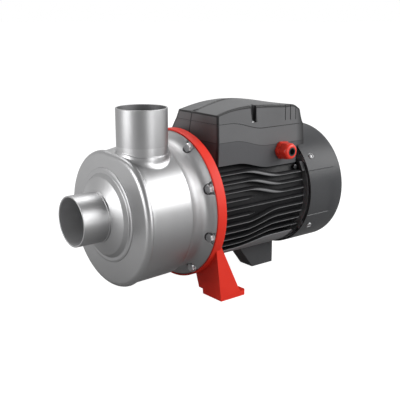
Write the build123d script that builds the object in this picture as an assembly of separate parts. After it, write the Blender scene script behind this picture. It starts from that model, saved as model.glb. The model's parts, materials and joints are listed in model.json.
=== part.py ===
# End-suction centrifugal pump with a pressed stainless casing, a cast bracket on two legs,
# and a finned induction motor with its terminal box on top.
# X runs along the shaft from the suction mouth to the fan, -Y is the side of the cable gland, +Z is up.
# The origin lies on the floor, midway between the two foot bolts.
# The pieces are modelled about the shaft axis and lifted to the shaft height when they are written.

import math
import os

from build123d import *

# Shaft line
shaft_height = 110.0        # shaft axis above the floor
foot_line_to_rim = 33.2     # front rim of the bracket, ahead of the foot bolts
running_gap = 0.05          # radial clearance of a running fit
seat_gap = 0.1              # radial clearance of a located fit

# Pipe stubs
pipe_radius = 30.15         # outside of a DN 50 pipe
pipe_wall = 2.0
suction_length = 32.6
discharge_reach = 127.4     # discharge mouth above the shaft axis
discharge_side = 26.1       # discharge axis beside the shaft axis
discharge_from_face = 35.4  # discharge axis behind the casing face
neck_top = 84.0             # weld between neck and discharge stub, above the shaft axis
neck_swell = 0.5            # the neck stands proud of the stub
weld_step = 1.0             # the neck's and the cone's bores are wider than the stubs'

# Casing of pressed sheet
sheet = 2.0
casing_depth = 95.2         # casing face to the casing flange
volute_start = 76.4         # outline radius at the cut-water
volute_end = 88.0           # outline radius where the volute is full
volute_turn = 205.0         # degrees over which the outline grows
roof_height = 76.8          # flat top of the outline, above the axis
roof_blend = 12             # how sharply the outline turns into the flat top
outline_step = 10           # degrees between points of the outline
cup_length = 8.5            # front cup, up to the bead's rear edge
cup_edge = 6.0              # rounding of the cup's face
bead_height = 1.8           # bead above the barrel
flare_length = 28.9         # barrel's rear end to the casing flange
barrel_rear_inset = 6.9     # barrel's rear circle, inside the flange's edge
cone_length = 14.4          # suction cone, stub end to the casing face
cone_shoulder = 5.5         # cone's shoulder, ahead of the casing face
cone_radius = 48.0
cone_rim_radius = 56.6
cone_rim = 1.5
flare_start_inset = 8.4     # insets of the flare, from the flange's edge
flare_waist_inset = 11.8
flare_waist_at = 16.5       # waist behind the barrel
flare_turn_inset = 9.3      # where the flare turns outwards
flare_turn_lip = 6.0        # that place ahead of the flange face
flare_end_inset = 3.8
flare_lip = 2.2             # flare's end ahead of the flange face

# Flange screws
flange_screws = 9
flange_screw_inset = 5.9    # screws inside the flange's edge
flange_screw_start = 27.6   # degrees from the top
pocket_radius = 8.0
pocket_wall = 1.6
pocket_depth = 8.0          # pockets start this far ahead of the flange face
screw_radius = 3.0
screw_clearance = 0.3
screw_head_across = 10.0
screw_head_height = 4.5
washer_radius = 6.0
washer_thickness = 1.2
thread_depth = 8.0

# Bracket
bracket_radius = 93.7
rim_wall = 2.0              # lip of the rim round the casing flange
bracket_rim_length = 13.6
rim_lip = 0.6               # rim ahead of the casing flange
rim_gap = 0.3
bearing_hub_radius = 28.0
bearing_setback = 9.8       # front bearing behind the web's front face
spigot_length = 4.0
spigot_wall = 5.0
leg_outer_inset = 9.3       # insets of the leg, from the rim's edge
leg_top_outer_inset = 11.2
leg_top_height = -41.0      # leg leaves the rim, relative to the axis
leg_width = 42.9            # above the pad
leg_top_width = 45.0
leg_top_inner_height = -84.0
leg_front_top = -26.8
leg_front_foot = -20.1
leg_rear_foot = 10.5
leg_rear_top = -19.6
leg_wall = 6.0
pad_length = 40.2
pad_width = 35.5
pad_height = 6.7
foot_bolt_inset = 18.4      # bolt hole inside the leg's outer face
foot_bolt_radius = 4.5
bracket_screw_circle = 71.0
bracket_screw_angles = (30, 150, 210, 330)
cap_head_radius = 5.0
cap_head_height = 6.0

# Seal plate and shaft seal
dish_inset = 15.0           # dish inside the circle of the flange screws
dish_depth = 38.2           # dish front ahead of the plate's flange
dish_corner = 8.0
seal_pocket_radius = 22.0
seal_pocket_depth = 20.0
o_ring = 2.5
seal_seat_length = 6.0
seal_ring_length = 5.5
seal_ring_radius = 15.0
seal_bore = 9.5
slinger_radius = 17.0
slinger_thickness = 4.0
slinger_from_web = 12.2

# Impeller
impeller_radius = 62.0
impeller_from_dish = 5.0    # back shroud ahead of the seal plate's dish
shroud_thickness = 3.0
hub_radius = 13.0
hub_length = 32.0
hub_behind_shroud = 3.0
blade_count = 6
blade_thickness = 3.5
blade_inlet_height = 30.0
eye_radius = 25.0
eye_reach = 9.0             # eye ahead of the blades' inlet
eye_gap = 0.3
inlet_ring_radius = 56.0
inlet_lip = 4.0
blade_outlet_height = 22.0
blade_wrap = 62.0           # degrees swept by a blade
impeller_nut_length = 12.0
impeller_nut_across = 17.0
nut_washer_radius = 10.0
key_width = 5.0
key_length = 18.0

# Shaft and bearings
thread_radius = 5.0
impeller_seat_radius = 7.0
seal_seat_radius = 8.0
shoulder_radius = 10.8
core_seat_radius = 12.5
rear_shoulder_radius = 9.6
fan_seat_radius = 6.5
front_bearing = dict(outer=20.0, bore=8.5, width=12.0, pitch=14.25, ball=3.375)
rear_bearing = dict(outer=17.5, bore=7.5, width=11.0, pitch=12.5, ball=2.975)
ball_count = 8
race_land = 0.7             # share of the ball's radius from its pitch circle to a ring
cage_thickness = 1.0
cage_share = 0.62           # cage width as a share of the bearing's width
wave_washer = 1.5

# Motor
motor_length = 155.0
core_radius = 70.0
bore_radius = 64.0
fin_radius = 77.5
band_radius = 78.0
fin_pitch = 10.3
fin_thickness = 2.4
fin_rows = (2, 3, 4, -2, -3, -4, -5)
short_rows = (1, -1)
fin_inset = 1.8             # fins start behind the bracket
fin_end_inset = 4.0
bend_start = 50.0           # where the fins start to bend, behind the bracket
bend_end = 103.0
bend_lag = 12.0             # a falling fin's crest widens by this lag
short_fin_end = 61.0
band_row = -6               # the band's upper edge follows this row
rail_radius = 6.5
stator_length = 90.0
stator_from_front = 29.8
air_gap = 0.5
rotor_radius = 36.0
winding_inner = 41.0
winding_outer = 60.0
winding_length = 16.0
end_ring_length = 7.0
end_ring_inner = 22.0
end_ring_radius = 34.5

# Rear shield, fan and fan cover
shield_thickness = 5.5
shield_radius = 76.0
shield_spigot = 5.0
shield_hub_radius = 23.0
lug_width = 12.0
lug_length = 20.8
lug_inner = 70.5
cover_radius = 81.0
cover_wall = 1.8
cover_length = 63.5
cover_edge = 4.5
cover_lap = 0.3             # cover starts behind the housing's rear face
cover_screw_angles = (54, 126, 234, 306)
cover_screw_from_front = 14.0
cover_screw_radius = 2.5
cover_head_radius = 4.6
cover_head_height = 2.6
panel_half_height = 30.5
panel_depth = 0.6
panel_margin = 4.0
panel_rear_margin = 9.0
slot_rings = ((18.0, 38.0, 4.0), (44.0, 70.0, 5.0))
slot_counts = (16, 32)
fan_radius = 67.0
fan_disc = 2.5
fan_hub_radius = 13.0
fan_hub_length = 18.0
fan_from_shield = 7.0
fan_blades = 8
fan_blade_height = 20.0
fan_blade_thickness = 2.5
fan_clip = 1.2
fan_clip_radius = 9.5

# Motor foot
motor_foot_half = 12.6
motor_foot_top_front = 85.6 # foot's front, behind the bracket, at the top
motor_foot_front = 116.1
motor_foot_rear = 154.0
motor_foot_screws = (124.0, 142.0)
foot_screw_radius = 3.0
foot_screw_head = 5.2
foot_screw_recess = 16.0

# Terminal box
box_front = 13.8            # box front behind the bracket
box_rear = 161.0
box_rear_low = 149.0        # lower part of the rear wall
box_rear_top = 151.0        # rear end of the lid's top
box_step = 62.0             # height of the step in the rear wall
box_near = 60.0
box_near_low = 57.8
box_near_top = 59.2
box_waist = 75.0            # height at which the near wall is widest
box_far_top = 18.5
box_far_top_height = 113.7
box_far_low = 48.0
box_far_low_height = 60.0
box_ridge = 9.0             # the lid's ridge beside the shaft axis
box_wall = 3.0
box_bottom_row = 5          # lower edge follows this fin row
box_seam = 102.0            # seam between base and lid, at the front
box_seam_lead = 16.0        # the seam falls this far ahead of the fins
lid_front_height = 113.4
lid_near_height = 121.0
lid_ridge_height = 125.8
lid_far_height = 122.5
lid_crown_at = 62.0         # highest point behind the box front
lid_rear_height = 111.6
lid_rear_low_height = 91.5
gasket = 1.2
gasket_inset = 0.9
lid_pocket_at = 57.0        # screw pocket behind the box front
lid_pocket_width = 9.3
lid_pocket_depth = 8.0
lid_pocket_height = 100.5
lid_screw_radius = 2.0
lid_screw_head = 3.6
lid_screw_length = 16.0
lid_screw_sink = 6.0        # far screw's seat above the near one's
base_screw_places = (32.0, 98.0)
base_screw_radius = 2.5
base_screw_head = 4.5
groove_places = (112.5, 121.5, 131.2)
groove_width = 1.2
groove_depth = 0.8
groove_low = 98.0
capacitor_radius = 16.0
capacitor_length = 64.0
capacitor_at = 40.0
capacitor_side = 12.0
clip_width = 12.0
clip_thickness = 1.5
block_length = 16.0
block_width = 34.0
block_height = 12.0
block_at = 111.0
stud_radius = 2.0
stud_height = 7.0
stud_count = 3

# Cable gland
gland_at = 105.8            # behind the box front
gland_height = 61.0
gland_thread = 8.0
gland_bore = 5.6
gland_hex_across = 24.0
gland_hex_length = 7.0
gland_nut_length = 15.0
gland_nut_radius = 11.6
gland_nut_tip = 8.0
gland_locknut = 4.5
gland_locknut_across = 20.0
gland_spot_face = 12.2      # recess for the locknut
gland_sleeve_length = 9.0
gland_seal_margin = 2.5     # seal ends behind the nut's mouth
cable_radius = 4.0

# Small screw beside the first fin row
earth_screw_at = 143.0
earth_screw_row = 3.5
earth_screw_head = 3.2
earth_screw_height = 2.2

# Radii and places, from the sizes above
flange_radius = bracket_radius - rim_wall - rim_gap
flange_screw_circle = flange_radius - flange_screw_inset
barrel_rear_radius = flange_radius - barrel_rear_inset
dish_radius = flange_screw_circle - dish_inset
leg_outer = bracket_radius - leg_outer_inset
leg_top_outer = bracket_radius - leg_top_outer_inset
foot_bolt_spacing = 2 * (leg_outer - foot_bolt_inset)
rim_front = -foot_line_to_rim
bracket_rear = rim_front + bracket_rim_length
flange_front = rim_front + rim_lip
plate_front = flange_front + sheet
web_front = plate_front + sheet
casing_face = flange_front - casing_depth
cup_rear = casing_face + cup_length
barrel_rear = flange_front - flare_length
cone_front = casing_face - cone_length
suction_mouth = cone_front - suction_length
discharge_x = casing_face + discharge_from_face
pipe_bore = pipe_radius - pipe_wall
dish_front = plate_front - dish_depth
seal_floor = dish_front + seal_pocket_depth
shroud_rear = dish_front - impeller_from_dish
hub_rear = shroud_rear + hub_behind_shroud
hub_front = hub_rear - hub_length
nut_front = hub_front - washer_thickness - impeller_nut_length
eye_front = shroud_rear - shroud_thickness - blade_inlet_height - eye_reach
front_bearing_at = web_front + bearing_setback
front_bearing_rear = front_bearing_at + front_bearing["width"]
motor_rear = bracket_rear + motor_length
stator_front = bracket_rear + stator_from_front
stator_rear = stator_front + stator_length
bearing_stop = motor_rear - wave_washer + 0.3
rear_bearing_at = bearing_stop - rear_bearing["width"]
shield_rear = motor_rear + shield_thickness
fan_front = shield_rear + fan_from_shield
shaft_end = fan_front + fan_hub_length + 4 * fan_clip
cover_front = motor_rear + cover_lap
cover_rear = cover_front + cover_length
cover_inner = cover_radius - cover_wall


def turned(points):
    """A solid turned about the shaft axis from its half profile of (place, radius) points."""
    return revolve(Plane.XZ * make_face(Polyline(*points, close=True)), Axis.X)


def ring(start, end, inner, outer):
    """A plain ring about the shaft axis."""
    return turned([(start, inner), (end, inner), (end, outer), (start, outer)])


def rod(start, end, radius, y=0.0, z=0.0):
    """A round bar parallel to the shaft."""
    return Pos((start + end) / 2, y, z) * Rot(0, 90, 0) * Cylinder(radius, end - start)


def post(x, y, low, high, radius):
    """A round upright bar."""
    return Pos(x, y, (low + high) / 2) * Cylinder(radius, high - low)


def hexagon(start, end, across, y=0.0, z=0.0):
    """A hexagonal bar parallel to the shaft, by its size across the flats."""
    face = Plane.YZ * RegularPolygon(across / 2, 6, major_radius=False)
    return Pos(start, y, z) * extrude(face, end - start)


def block(x0, x1, y0, y1, z0, z1):
    """A plain block between two corners."""
    return Pos((x0 + x1) / 2, (y0 + y1) / 2, (z0 + z1) / 2) * Box(x1 - x0, y1 - y0, z1 - z0)


def around(shape, angle):
    """A shape made at the top of the shaft, turned towards the gland's side by an angle."""
    return Rot(angle, 0, 0) * shape


def spread(shape, angles):
    """Copies of a shape at several angles about the shaft."""
    return [around(shape, angle) for angle in angles]


def side_face(*lines):
    """A face in the upright plane of the shaft, from its edges."""
    return Plane.XZ * make_face(Curve() + list(lines))


def across(face, low, high):
    """A face of the shaft's upright plane, drawn out across the shaft between two places."""
    return Pos(0, high, 0) * extrude(face, high - low, dir=(0, -1, 0))


def flange_screw_angles():
    return [flange_screw_start + 360 / flange_screws * n for n in range(flange_screws)]


# Casing


def volute_radius(turn, inset):
    """Outline radius at an angle from the top, turning away from the discharge.

    A spiral grows to its full radius, stays there, and runs into the flat top under the neck.
    """
    grown = min(turn / volute_turn, 1.0)
    spiral = volute_start + (volute_end - volute_start) * grown
    rise = math.cos(math.radians(turn))
    if turn > 180 and rise > 0:
        roof = roof_height / rise
        spiral = (spiral**-roof_blend + roof**-roof_blend) ** (-1 / roof_blend)
    return spiral - inset


def volute_face(place, inset, roundness=0.0):
    """The casing's outline as a face across the shaft, blended towards the barrel's rear circle."""
    points = []
    for turn in range(0, 360, outline_step):
        radius = volute_radius(turn, inset)
        radius += (barrel_rear_radius + bead_height - inset - radius) * roundness
        angle = math.radians(turn)
        points.append((radius * math.sin(angle), radius * math.cos(angle)))
    return Pos(place, 0, 0) * (Plane.YZ * make_face(Spline(*points, periodic=True)))


def barrel(inset):
    """The barrel, from the volute's outline to the round rear end."""
    return loft([volute_face(cup_rear, inset), volute_face(barrel_rear, inset, 1.0)], ruled=True)


def volute_casing():
    cup = extrude(volute_face(casing_face, 0), cup_length, dir=(1, 0, 0))
    cup = fillet(cup.edges().group_by(Axis.X)[0], cup_edge)
    body = cup + barrel(bead_height)
    neck = post(discharge_x, -discharge_side, 0, neck_top, pipe_radius + neck_swell)
    body = body + neck
    hollow_inset = bead_height + sheet
    front = casing_face + sheet
    hollow = extrude(volute_face(front, hollow_inset), cup_rear - front, dir=(1, 0, 0))
    hollow = hollow + barrel(hollow_inset)
    bore = post(discharge_x, -discharge_side, 0, neck_top, pipe_bore + weld_step)
    eye = rod(casing_face, casing_face + sheet, cone_radius - sheet)
    return body - hollow - bore - eye


def suction_cone():
    outer = pipe_radius + neck_swell
    shoulder = casing_face - cone_shoulder
    return turned([
        (cone_front, pipe_bore + weld_step),
        (cone_front, outer),
        (cone_front + sheet, outer),
        (shoulder, cone_radius),
        (casing_face - 2 * cone_rim, cone_radius + sheet),
        (casing_face - cone_rim, cone_rim_radius),
        (casing_face, cone_rim_radius),
        (casing_face, cone_radius - sheet),
        (shoulder + sheet, cone_radius - sheet),
        (cone_front + sheet, pipe_bore + weld_step),
    ])


def suction_stub():
    return ring(suction_mouth, cone_front, pipe_bore, pipe_radius)


def discharge_stub():
    outer = post(discharge_x, -discharge_side, neck_top, discharge_reach, pipe_radius)
    return outer - post(discharge_x, -discharge_side, neck_top, discharge_reach, pipe_bore)


def flare_profile(inset):
    """Half profile under the flare's outside, down to the dish, shrunk by an inset."""
    end = flange_front - flare_lip
    outside = flange_radius - inset
    start_point = (barrel_rear, outside - flare_start_inset)
    waist_point = (barrel_rear + flare_waist_at, outside - flare_waist_inset)
    turn_point = (flange_front - flare_turn_lip, outside - flare_turn_inset)
    end_point = (end, outside - flare_end_inset)
    return side_face(
        Spline(start_point, waist_point, turn_point, end_point),
        Polyline(end_point, (flange_front, outside), (plate_front, outside),
                 (plate_front, 0), (barrel_rear, 0), start_point),
    )


def casing_flange():
    """The waisted rear of the casing, flared out to its flange, with a pressed pocket at each screw."""
    wall = pocket_radius + pocket_wall
    rim_inner = flange_screw_circle - wall
    full = revolve(flare_profile(0), Axis.X)
    hollow = revolve(flare_profile(sheet), Axis.X) & rod(barrel_rear, flange_front, flange_radius)
    walls = spread(rod(flange_front - pocket_depth - pocket_wall, plate_front, wall, 0, flange_screw_circle),
                   flange_screw_angles())
    pockets = spread(rod(flange_front - pocket_depth, flange_front, pocket_radius, 0, flange_screw_circle),
                     flange_screw_angles())
    holes = spread(rod(flange_front, plate_front, screw_radius + screw_clearance, 0, flange_screw_circle),
                   flange_screw_angles())
    shell = full - hollow + (full & (Part() + walls))
    return shell - rod(barrel_rear, plate_front, rim_inner) - pockets - holes


def seal_plate():
    hub_wall = seal_pocket_radius - sheet
    profile = side_face(
        FilletPolyline(
            (plate_front, dish_radius),
            (dish_front, dish_radius),
            (dish_front, seal_pocket_radius),
            radius=dish_corner,
        ),
        Polyline(
            (dish_front, seal_pocket_radius),
            (dish_front, hub_wall),
            (seal_floor - sheet, hub_wall),
            (seal_floor - sheet, seal_bore),
            (seal_floor, seal_bore),
            (seal_floor, seal_pocket_radius),
            (dish_front + sheet, seal_pocket_radius),
        ),
        FilletPolyline(
            (dish_front + sheet, seal_pocket_radius),
            (dish_front + sheet, dish_radius - sheet),
            (web_front, dish_radius - sheet),
            radius=dish_corner - sheet,
        ),
        Polyline(
            (web_front, dish_radius - sheet),
            (web_front, flange_radius),
            (plate_front, flange_radius),
            (plate_front, dish_radius),
        ),
    )
    holes = spread(rod(plate_front, web_front, screw_radius + screw_clearance, 0, flange_screw_circle),
                   flange_screw_angles())
    return revolve(profile, Axis.X) - holes


def casing_o_ring():
    centre = dish_radius + o_ring + seat_gap
    place = plate_front - o_ring - seat_gap
    return revolve(Pos(place, 0, centre) * (Plane.XZ * Circle(o_ring)), Axis.X)


def flange_screw():
    head_rear = flange_front - washer_thickness
    head = hexagon(head_rear - screw_head_height, head_rear, screw_head_across, 0, flange_screw_circle)
    shank = rod(head_rear, web_front + thread_depth, screw_radius, 0, flange_screw_circle)
    return head + shank


def flange_washer():
    front = flange_front - washer_thickness
    disc = rod(front, flange_front, washer_radius, 0, flange_screw_circle)
    return disc - rod(front, flange_front, screw_radius, 0, flange_screw_circle)


# Bracket


def leg():
    """One leg: a tapered front wall, an outer wall that widens to the rear, and a drilled pad."""
    floor = -shaft_height
    leg_inner = leg_outer - leg_width
    leg_top_inner = leg_top_outer - leg_top_width
    pad_inner = leg_outer - pad_width
    pad_top = floor + pad_height
    pad_rear = leg_front_foot + pad_length
    side = side_face(Polyline(
        (leg_front_top, leg_top_height),
        (leg_rear_top, leg_top_height),
        (leg_rear_foot, pad_top),
        (pad_rear, pad_top),
        (pad_rear, floor),
        (leg_front_foot, floor),
        close=True,
    ))
    front = Plane.YZ * make_face(Polyline(
        (-leg_top_outer, leg_top_height),
        (-leg_outer, floor),
        (-pad_inner, floor),
        (-pad_inner, pad_top),
        (-leg_inner, pad_top),
        (-leg_top_inner, leg_top_inner_height),
        close=True,
    ))
    solid = across(side, -leg_outer, -leg_top_inner) & extrude(front, 3 * pad_length, dir=(1, 0, 0), both=True)
    slope = (leg_front_foot - leg_front_top) / (leg_top_height - floor)
    hollow_side = side_face(Polyline(
        (leg_front_foot + leg_wall - slope * pad_height, pad_top),
        (leg_front_top + leg_wall, leg_top_height),
        (pad_rear, leg_top_height),
        (pad_rear, pad_top),
        close=True,
    ))
    hollow = across(hollow_side, -leg_top_outer + leg_wall, 0)
    bolt = post(0, -foot_bolt_spacing / 2, floor, pad_top, foot_bolt_radius)
    return solid - hollow - bolt


def bracket():
    lip_inner = flange_radius + rim_gap
    bore = seal_seat_radius + 4.0
    body = turned([
        (rim_front, lip_inner),
        (rim_front, bracket_radius),
        (bracket_rear, bracket_radius),
        (bracket_rear, bore_radius - seat_gap),
        (bracket_rear + spigot_length, bore_radius - seat_gap),
        (bracket_rear + spigot_length, bore_radius - seat_gap - spigot_wall),
        (bracket_rear, bore_radius - seat_gap - spigot_wall),
        (bracket_rear, bearing_hub_radius),
        (front_bearing_rear, bearing_hub_radius),
        (front_bearing_rear, front_bearing["outer"]),
        (front_bearing_at, front_bearing["outer"]),
        (front_bearing_at, bore),
        (web_front, bore),
        (web_front, lip_inner),
    ])
    near_leg = leg()
    body = body + [near_leg, mirror(near_leg, Plane.XZ)]
    taps = spread(rod(web_front, web_front + thread_depth, screw_radius, 0, flange_screw_circle),
                  flange_screw_angles())
    head_floor = web_front + cap_head_height
    heads = spread(rod(web_front, head_floor, cap_head_radius + screw_clearance, 0, bracket_screw_circle),
                   bracket_screw_angles)
    holes = spread(rod(head_floor, bracket_rear, screw_radius, 0, bracket_screw_circle), bracket_screw_angles)
    return body - taps - heads - holes


def bracket_screw():
    head_floor = web_front + cap_head_height
    head = rod(web_front, head_floor, cap_head_radius, 0, bracket_screw_circle)
    socket = hexagon(web_front, web_front + cap_head_height / 2, cap_head_radius, 0, bracket_screw_circle)
    shank = rod(head_floor, bracket_rear + 2 * thread_depth, screw_radius, 0, bracket_screw_circle)
    return head + shank - socket


# Shaft and what turns with it


def key_block(clearance=0.0):
    middle = (hub_front + hub_rear) / 2
    half = key_length / 2 + clearance
    width = key_width / 2 + clearance
    low = impeller_seat_radius - key_width / 2
    return block(middle - half, middle + half, -width, width, low, low + key_width)


def shaft():
    body = turned([
        (nut_front + 2.0, 0),
        (nut_front + 2.0, thread_radius),
        (hub_front, thread_radius),
        (hub_front, impeller_seat_radius),
        (hub_rear, impeller_seat_radius),
        (hub_rear, seal_seat_radius),
        (front_bearing_at, seal_seat_radius),
        (front_bearing_at, front_bearing["bore"]),
        (front_bearing_rear, front_bearing["bore"]),
        (front_bearing_rear, shoulder_radius),
        (stator_front, shoulder_radius),
        (stator_front, core_seat_radius),
        (stator_rear, core_seat_radius),
        (stator_rear, rear_shoulder_radius),
        (rear_bearing_at, rear_shoulder_radius),
        (rear_bearing_at, rear_bearing["bore"]),
        (bearing_stop, rear_bearing["bore"]),
        (bearing_stop, fan_seat_radius),
        (shaft_end, fan_seat_radius),
        (shaft_end, 0),
    ])
    return body - key_block()


def blade(root, tip):
    """One backward-swept blade between two radii, drawn out to its full height."""
    sweep_angle = math.radians(blade_wrap)
    inner = (0, root)
    outer = (tip * math.sin(sweep_angle), tip * math.cos(sweep_angle))
    middle_angle = sweep_angle * 0.36
    middle_radius = (root + tip) / 2
    middle = (middle_radius * math.sin(middle_angle), middle_radius * math.cos(middle_angle))
    line = ThreePointArc(inner, middle, outer)
    outline = offset(line, blade_thickness / 2, kind=Kind.INTERSECTION)
    face = Plane.YZ * make_face(outline)
    return Pos(shroud_rear - shroud_thickness - blade_inlet_height, 0, 0) * extrude(
        face, blade_inlet_height + shroud_thickness / 2, dir=(1, 0, 0))


def impeller():
    """A closed impeller: two shrouds with swept blades between them, and an eye facing the suction."""
    shroud_front = shroud_rear - shroud_thickness
    body = ring(shroud_front, shroud_rear, 0, impeller_radius) + rod(hub_front, hub_rear, hub_radius)
    one = blade(hub_radius - 1, impeller_radius + blade_thickness)
    blades = Part() + spread(one, [360 / blade_count * n for n in range(blade_count)])
    eye_inner = eye_radius - shroud_thickness
    eye_place = shroud_front - blade_inlet_height
    rim_place = shroud_front - blade_outlet_height
    front_shroud = turned([
        (eye_front, eye_inner),
        (eye_front, eye_radius),
        (eye_place - shroud_thickness, eye_radius),
        (rim_place - shroud_thickness, impeller_radius),
        (rim_place, impeller_radius),
        (eye_place, eye_inner),
    ])
    envelope = turned([
        (shroud_rear, 0),
        (eye_place, 0),
        (eye_place, eye_inner),
        (rim_place, impeller_radius),
        (shroud_rear, impeller_radius),
    ])
    body = body + (blades & envelope) + front_shroud
    bore = rod(hub_front, hub_rear, impeller_seat_radius) + rod(eye_place, hub_front, hub_radius)
    return body - bore - key_block()


def inlet_ring():
    """A pressed ring behind the suction eye, which hugs the impeller's neck."""
    front = casing_face + sheet
    lip = eye_radius + eye_gap
    return turned([
        (front, cone_radius - 2 * sheet),
        (front, inlet_ring_radius),
        (front + sheet, inlet_ring_radius),
        (front + sheet, cone_radius),
        (eye_front, lip + sheet),
        (eye_front + inlet_lip, lip + sheet),
        (eye_front + inlet_lip, lip),
        (eye_front - sheet, lip),
    ])


def impeller_washer():
    return ring(hub_front - washer_thickness, hub_front, thread_radius, nut_washer_radius)


def impeller_nut():
    rear = hub_front - washer_thickness
    dome = turned([
        (nut_front, 0),
        (nut_front, thread_radius),
        (nut_front + impeller_nut_length / 2, impeller_nut_across / 2 + 1.5),
        (rear, impeller_nut_across / 2 + 1.5),
        (rear, 0),
    ])
    return (hexagon(nut_front, rear, impeller_nut_across) & dome) - rod(nut_front + 2.0, rear, thread_radius)


def seal_seat():
    """The fixed face, pressed into the pocket's floor."""
    rear = seal_floor - sheet
    return ring(rear - seal_seat_length, rear, seal_bore, seal_pocket_radius - sheet)


def seal_face():
    """The turning face, a film's thickness ahead of the fixed one."""
    rear = seal_floor - sheet - seal_seat_length - running_gap
    return ring(rear - seal_ring_length, rear, seal_seat_radius, seal_ring_radius)


def seal_bellows():
    """The rubber bellows and its spring as one ribbed sleeve, pushed against the hub."""
    rear = seal_floor - sheet - seal_seat_length - running_gap - seal_ring_length
    step = (rear - hub_rear) / 4
    crest = seal_ring_radius - 1.0
    valley = seal_ring_radius - 3.0
    return turned([
        (hub_rear, seal_seat_radius),
        (hub_rear, crest),
        (hub_rear + step, valley),
        (hub_rear + 2 * step, crest),
        (hub_rear + 3 * step, valley),
        (rear, crest),
        (rear, seal_seat_radius),
    ])


def water_slinger():
    rear = web_front - slinger_from_web + slinger_thickness
    front = web_front - slinger_from_web
    return turned([
        (front, seal_seat_radius),
        (front, seal_seat_radius + slinger_thickness),
        (front + slinger_thickness / 2, seal_seat_radius + slinger_thickness),
        (front + slinger_thickness / 2, slinger_radius),
        (rear, slinger_radius),
        (rear, seal_seat_radius),
    ])


def race_profile(bearing, place):
    groove = bearing["ball"] + running_gap
    middle = place + bearing["width"] / 2
    return revolve(Pos(middle, 0, bearing["pitch"]) * (Plane.XZ * Circle(groove)), Axis.X)


def bearing_outer(bearing, place):
    inner = bearing["pitch"] + race_land * bearing["ball"]
    return ring(place, place + bearing["width"], inner, bearing["outer"]) - race_profile(bearing, place)


def bearing_inner(bearing, place):
    outer = bearing["pitch"] - race_land * bearing["ball"]
    return ring(place, place + bearing["width"], bearing["bore"], outer) - race_profile(bearing, place)


def bearing_balls(bearing, place):
    """The balls with the cage that spaces them."""
    middle = place + bearing["width"] / 2
    half = cage_share * bearing["width"] / 2
    cage = ring(middle - half, middle + half, bearing["pitch"] - cage_thickness, bearing["pitch"] + cage_thickness)
    ball = Pos(middle, 0, bearing["pitch"]) * Sphere(bearing["ball"])
    return cage + spread(ball, [360 / ball_count * n for n in range(ball_count)])


def rotor_core():
    return ring(stator_front, stator_rear, core_seat_radius, rotor_radius)


def rotor_end_rings():
    front = ring(stator_front - end_ring_length, stator_front, end_ring_inner, end_ring_radius)
    rear = ring(stator_rear, stator_rear + end_ring_length, end_ring_inner, end_ring_radius)
    return [front, rear]


def fan():
    rear = fan_front + fan_hub_length
    body = ring(fan_front, rear, 0, fan_hub_radius) + ring(fan_front, fan_front + fan_disc, 0, fan_radius - 3)
    half = fan_blade_thickness / 2
    top = fan_front + fan_disc / 2
    one = block(top, fan_front + fan_blade_height, -half, half, fan_hub_radius - 1, fan_radius)
    body = body + spread(one, [360 / fan_blades * n for n in range(fan_blades)])
    return body - rod(fan_front, rear, fan_seat_radius)


def fan_clip_ring():
    front = fan_front + fan_hub_length
    return ring(front, front + fan_clip, fan_seat_radius, fan_clip_radius)


# Motor


def wave(place, height, shift, lag=0.0, end=None):
    """The run of a fin at one height, which moves by a shift between the two bends."""
    start = bracket_rear + bend_start + lag
    stop = bracket_rear + bend_end + lag
    end = end or motor_rear
    bend = Spline((start, height), (stop, height + shift), tangents=[(1, 0), (1, 0)])
    return [Line((place, height), (start, height)), bend, Line((stop, height + shift), (end, height + shift))]


def fin_face(row):
    """A long fin seen from the side. It moves one pitch towards the shaft's height at the bends."""
    start = bracket_rear + fin_inset
    end = motor_rear - fin_end_inset
    height = row * fin_pitch
    shift = -fin_pitch if row > 0 else fin_pitch
    half = fin_thickness / 2
    lag = bend_lag if row > 0 else 0.0
    upper = wave(start, height + half, shift, lag, end)
    lower = wave(start, height - half, shift, 0.0, end)
    ends = [
        Line((start, height - half), (start, height + half)),
        Line((end, height + shift - half), (end, height + shift + half)),
    ]
    return side_face(*upper, *lower, *ends)


def straight_fin_face(row, length):
    """A fin that keeps its height and ends in a point."""
    start = bracket_rear + fin_inset
    end = bracket_rear + length
    height = row * fin_pitch
    half = fin_thickness / 2
    tip = end + 2 * fin_thickness
    return side_face(Polyline((start, height - half), (end, height - half), (tip, height), (end, height + half),
                              (start, height + half), close=True))


def under_wave(row, margin, depth):
    """The side view of all that lies below a row's run, for the band along the bottom."""
    start = bracket_rear
    height = row * fin_pitch + margin
    run = wave(start, height, fin_pitch)
    return side_face(*run, Polyline((motor_rear, height + fin_pitch), (motor_rear, depth), (start, depth),
                                    (start, height)))


def fin_ring(outer):
    return ring(bracket_rear, motor_rear, core_radius - 1, outer)


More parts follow.
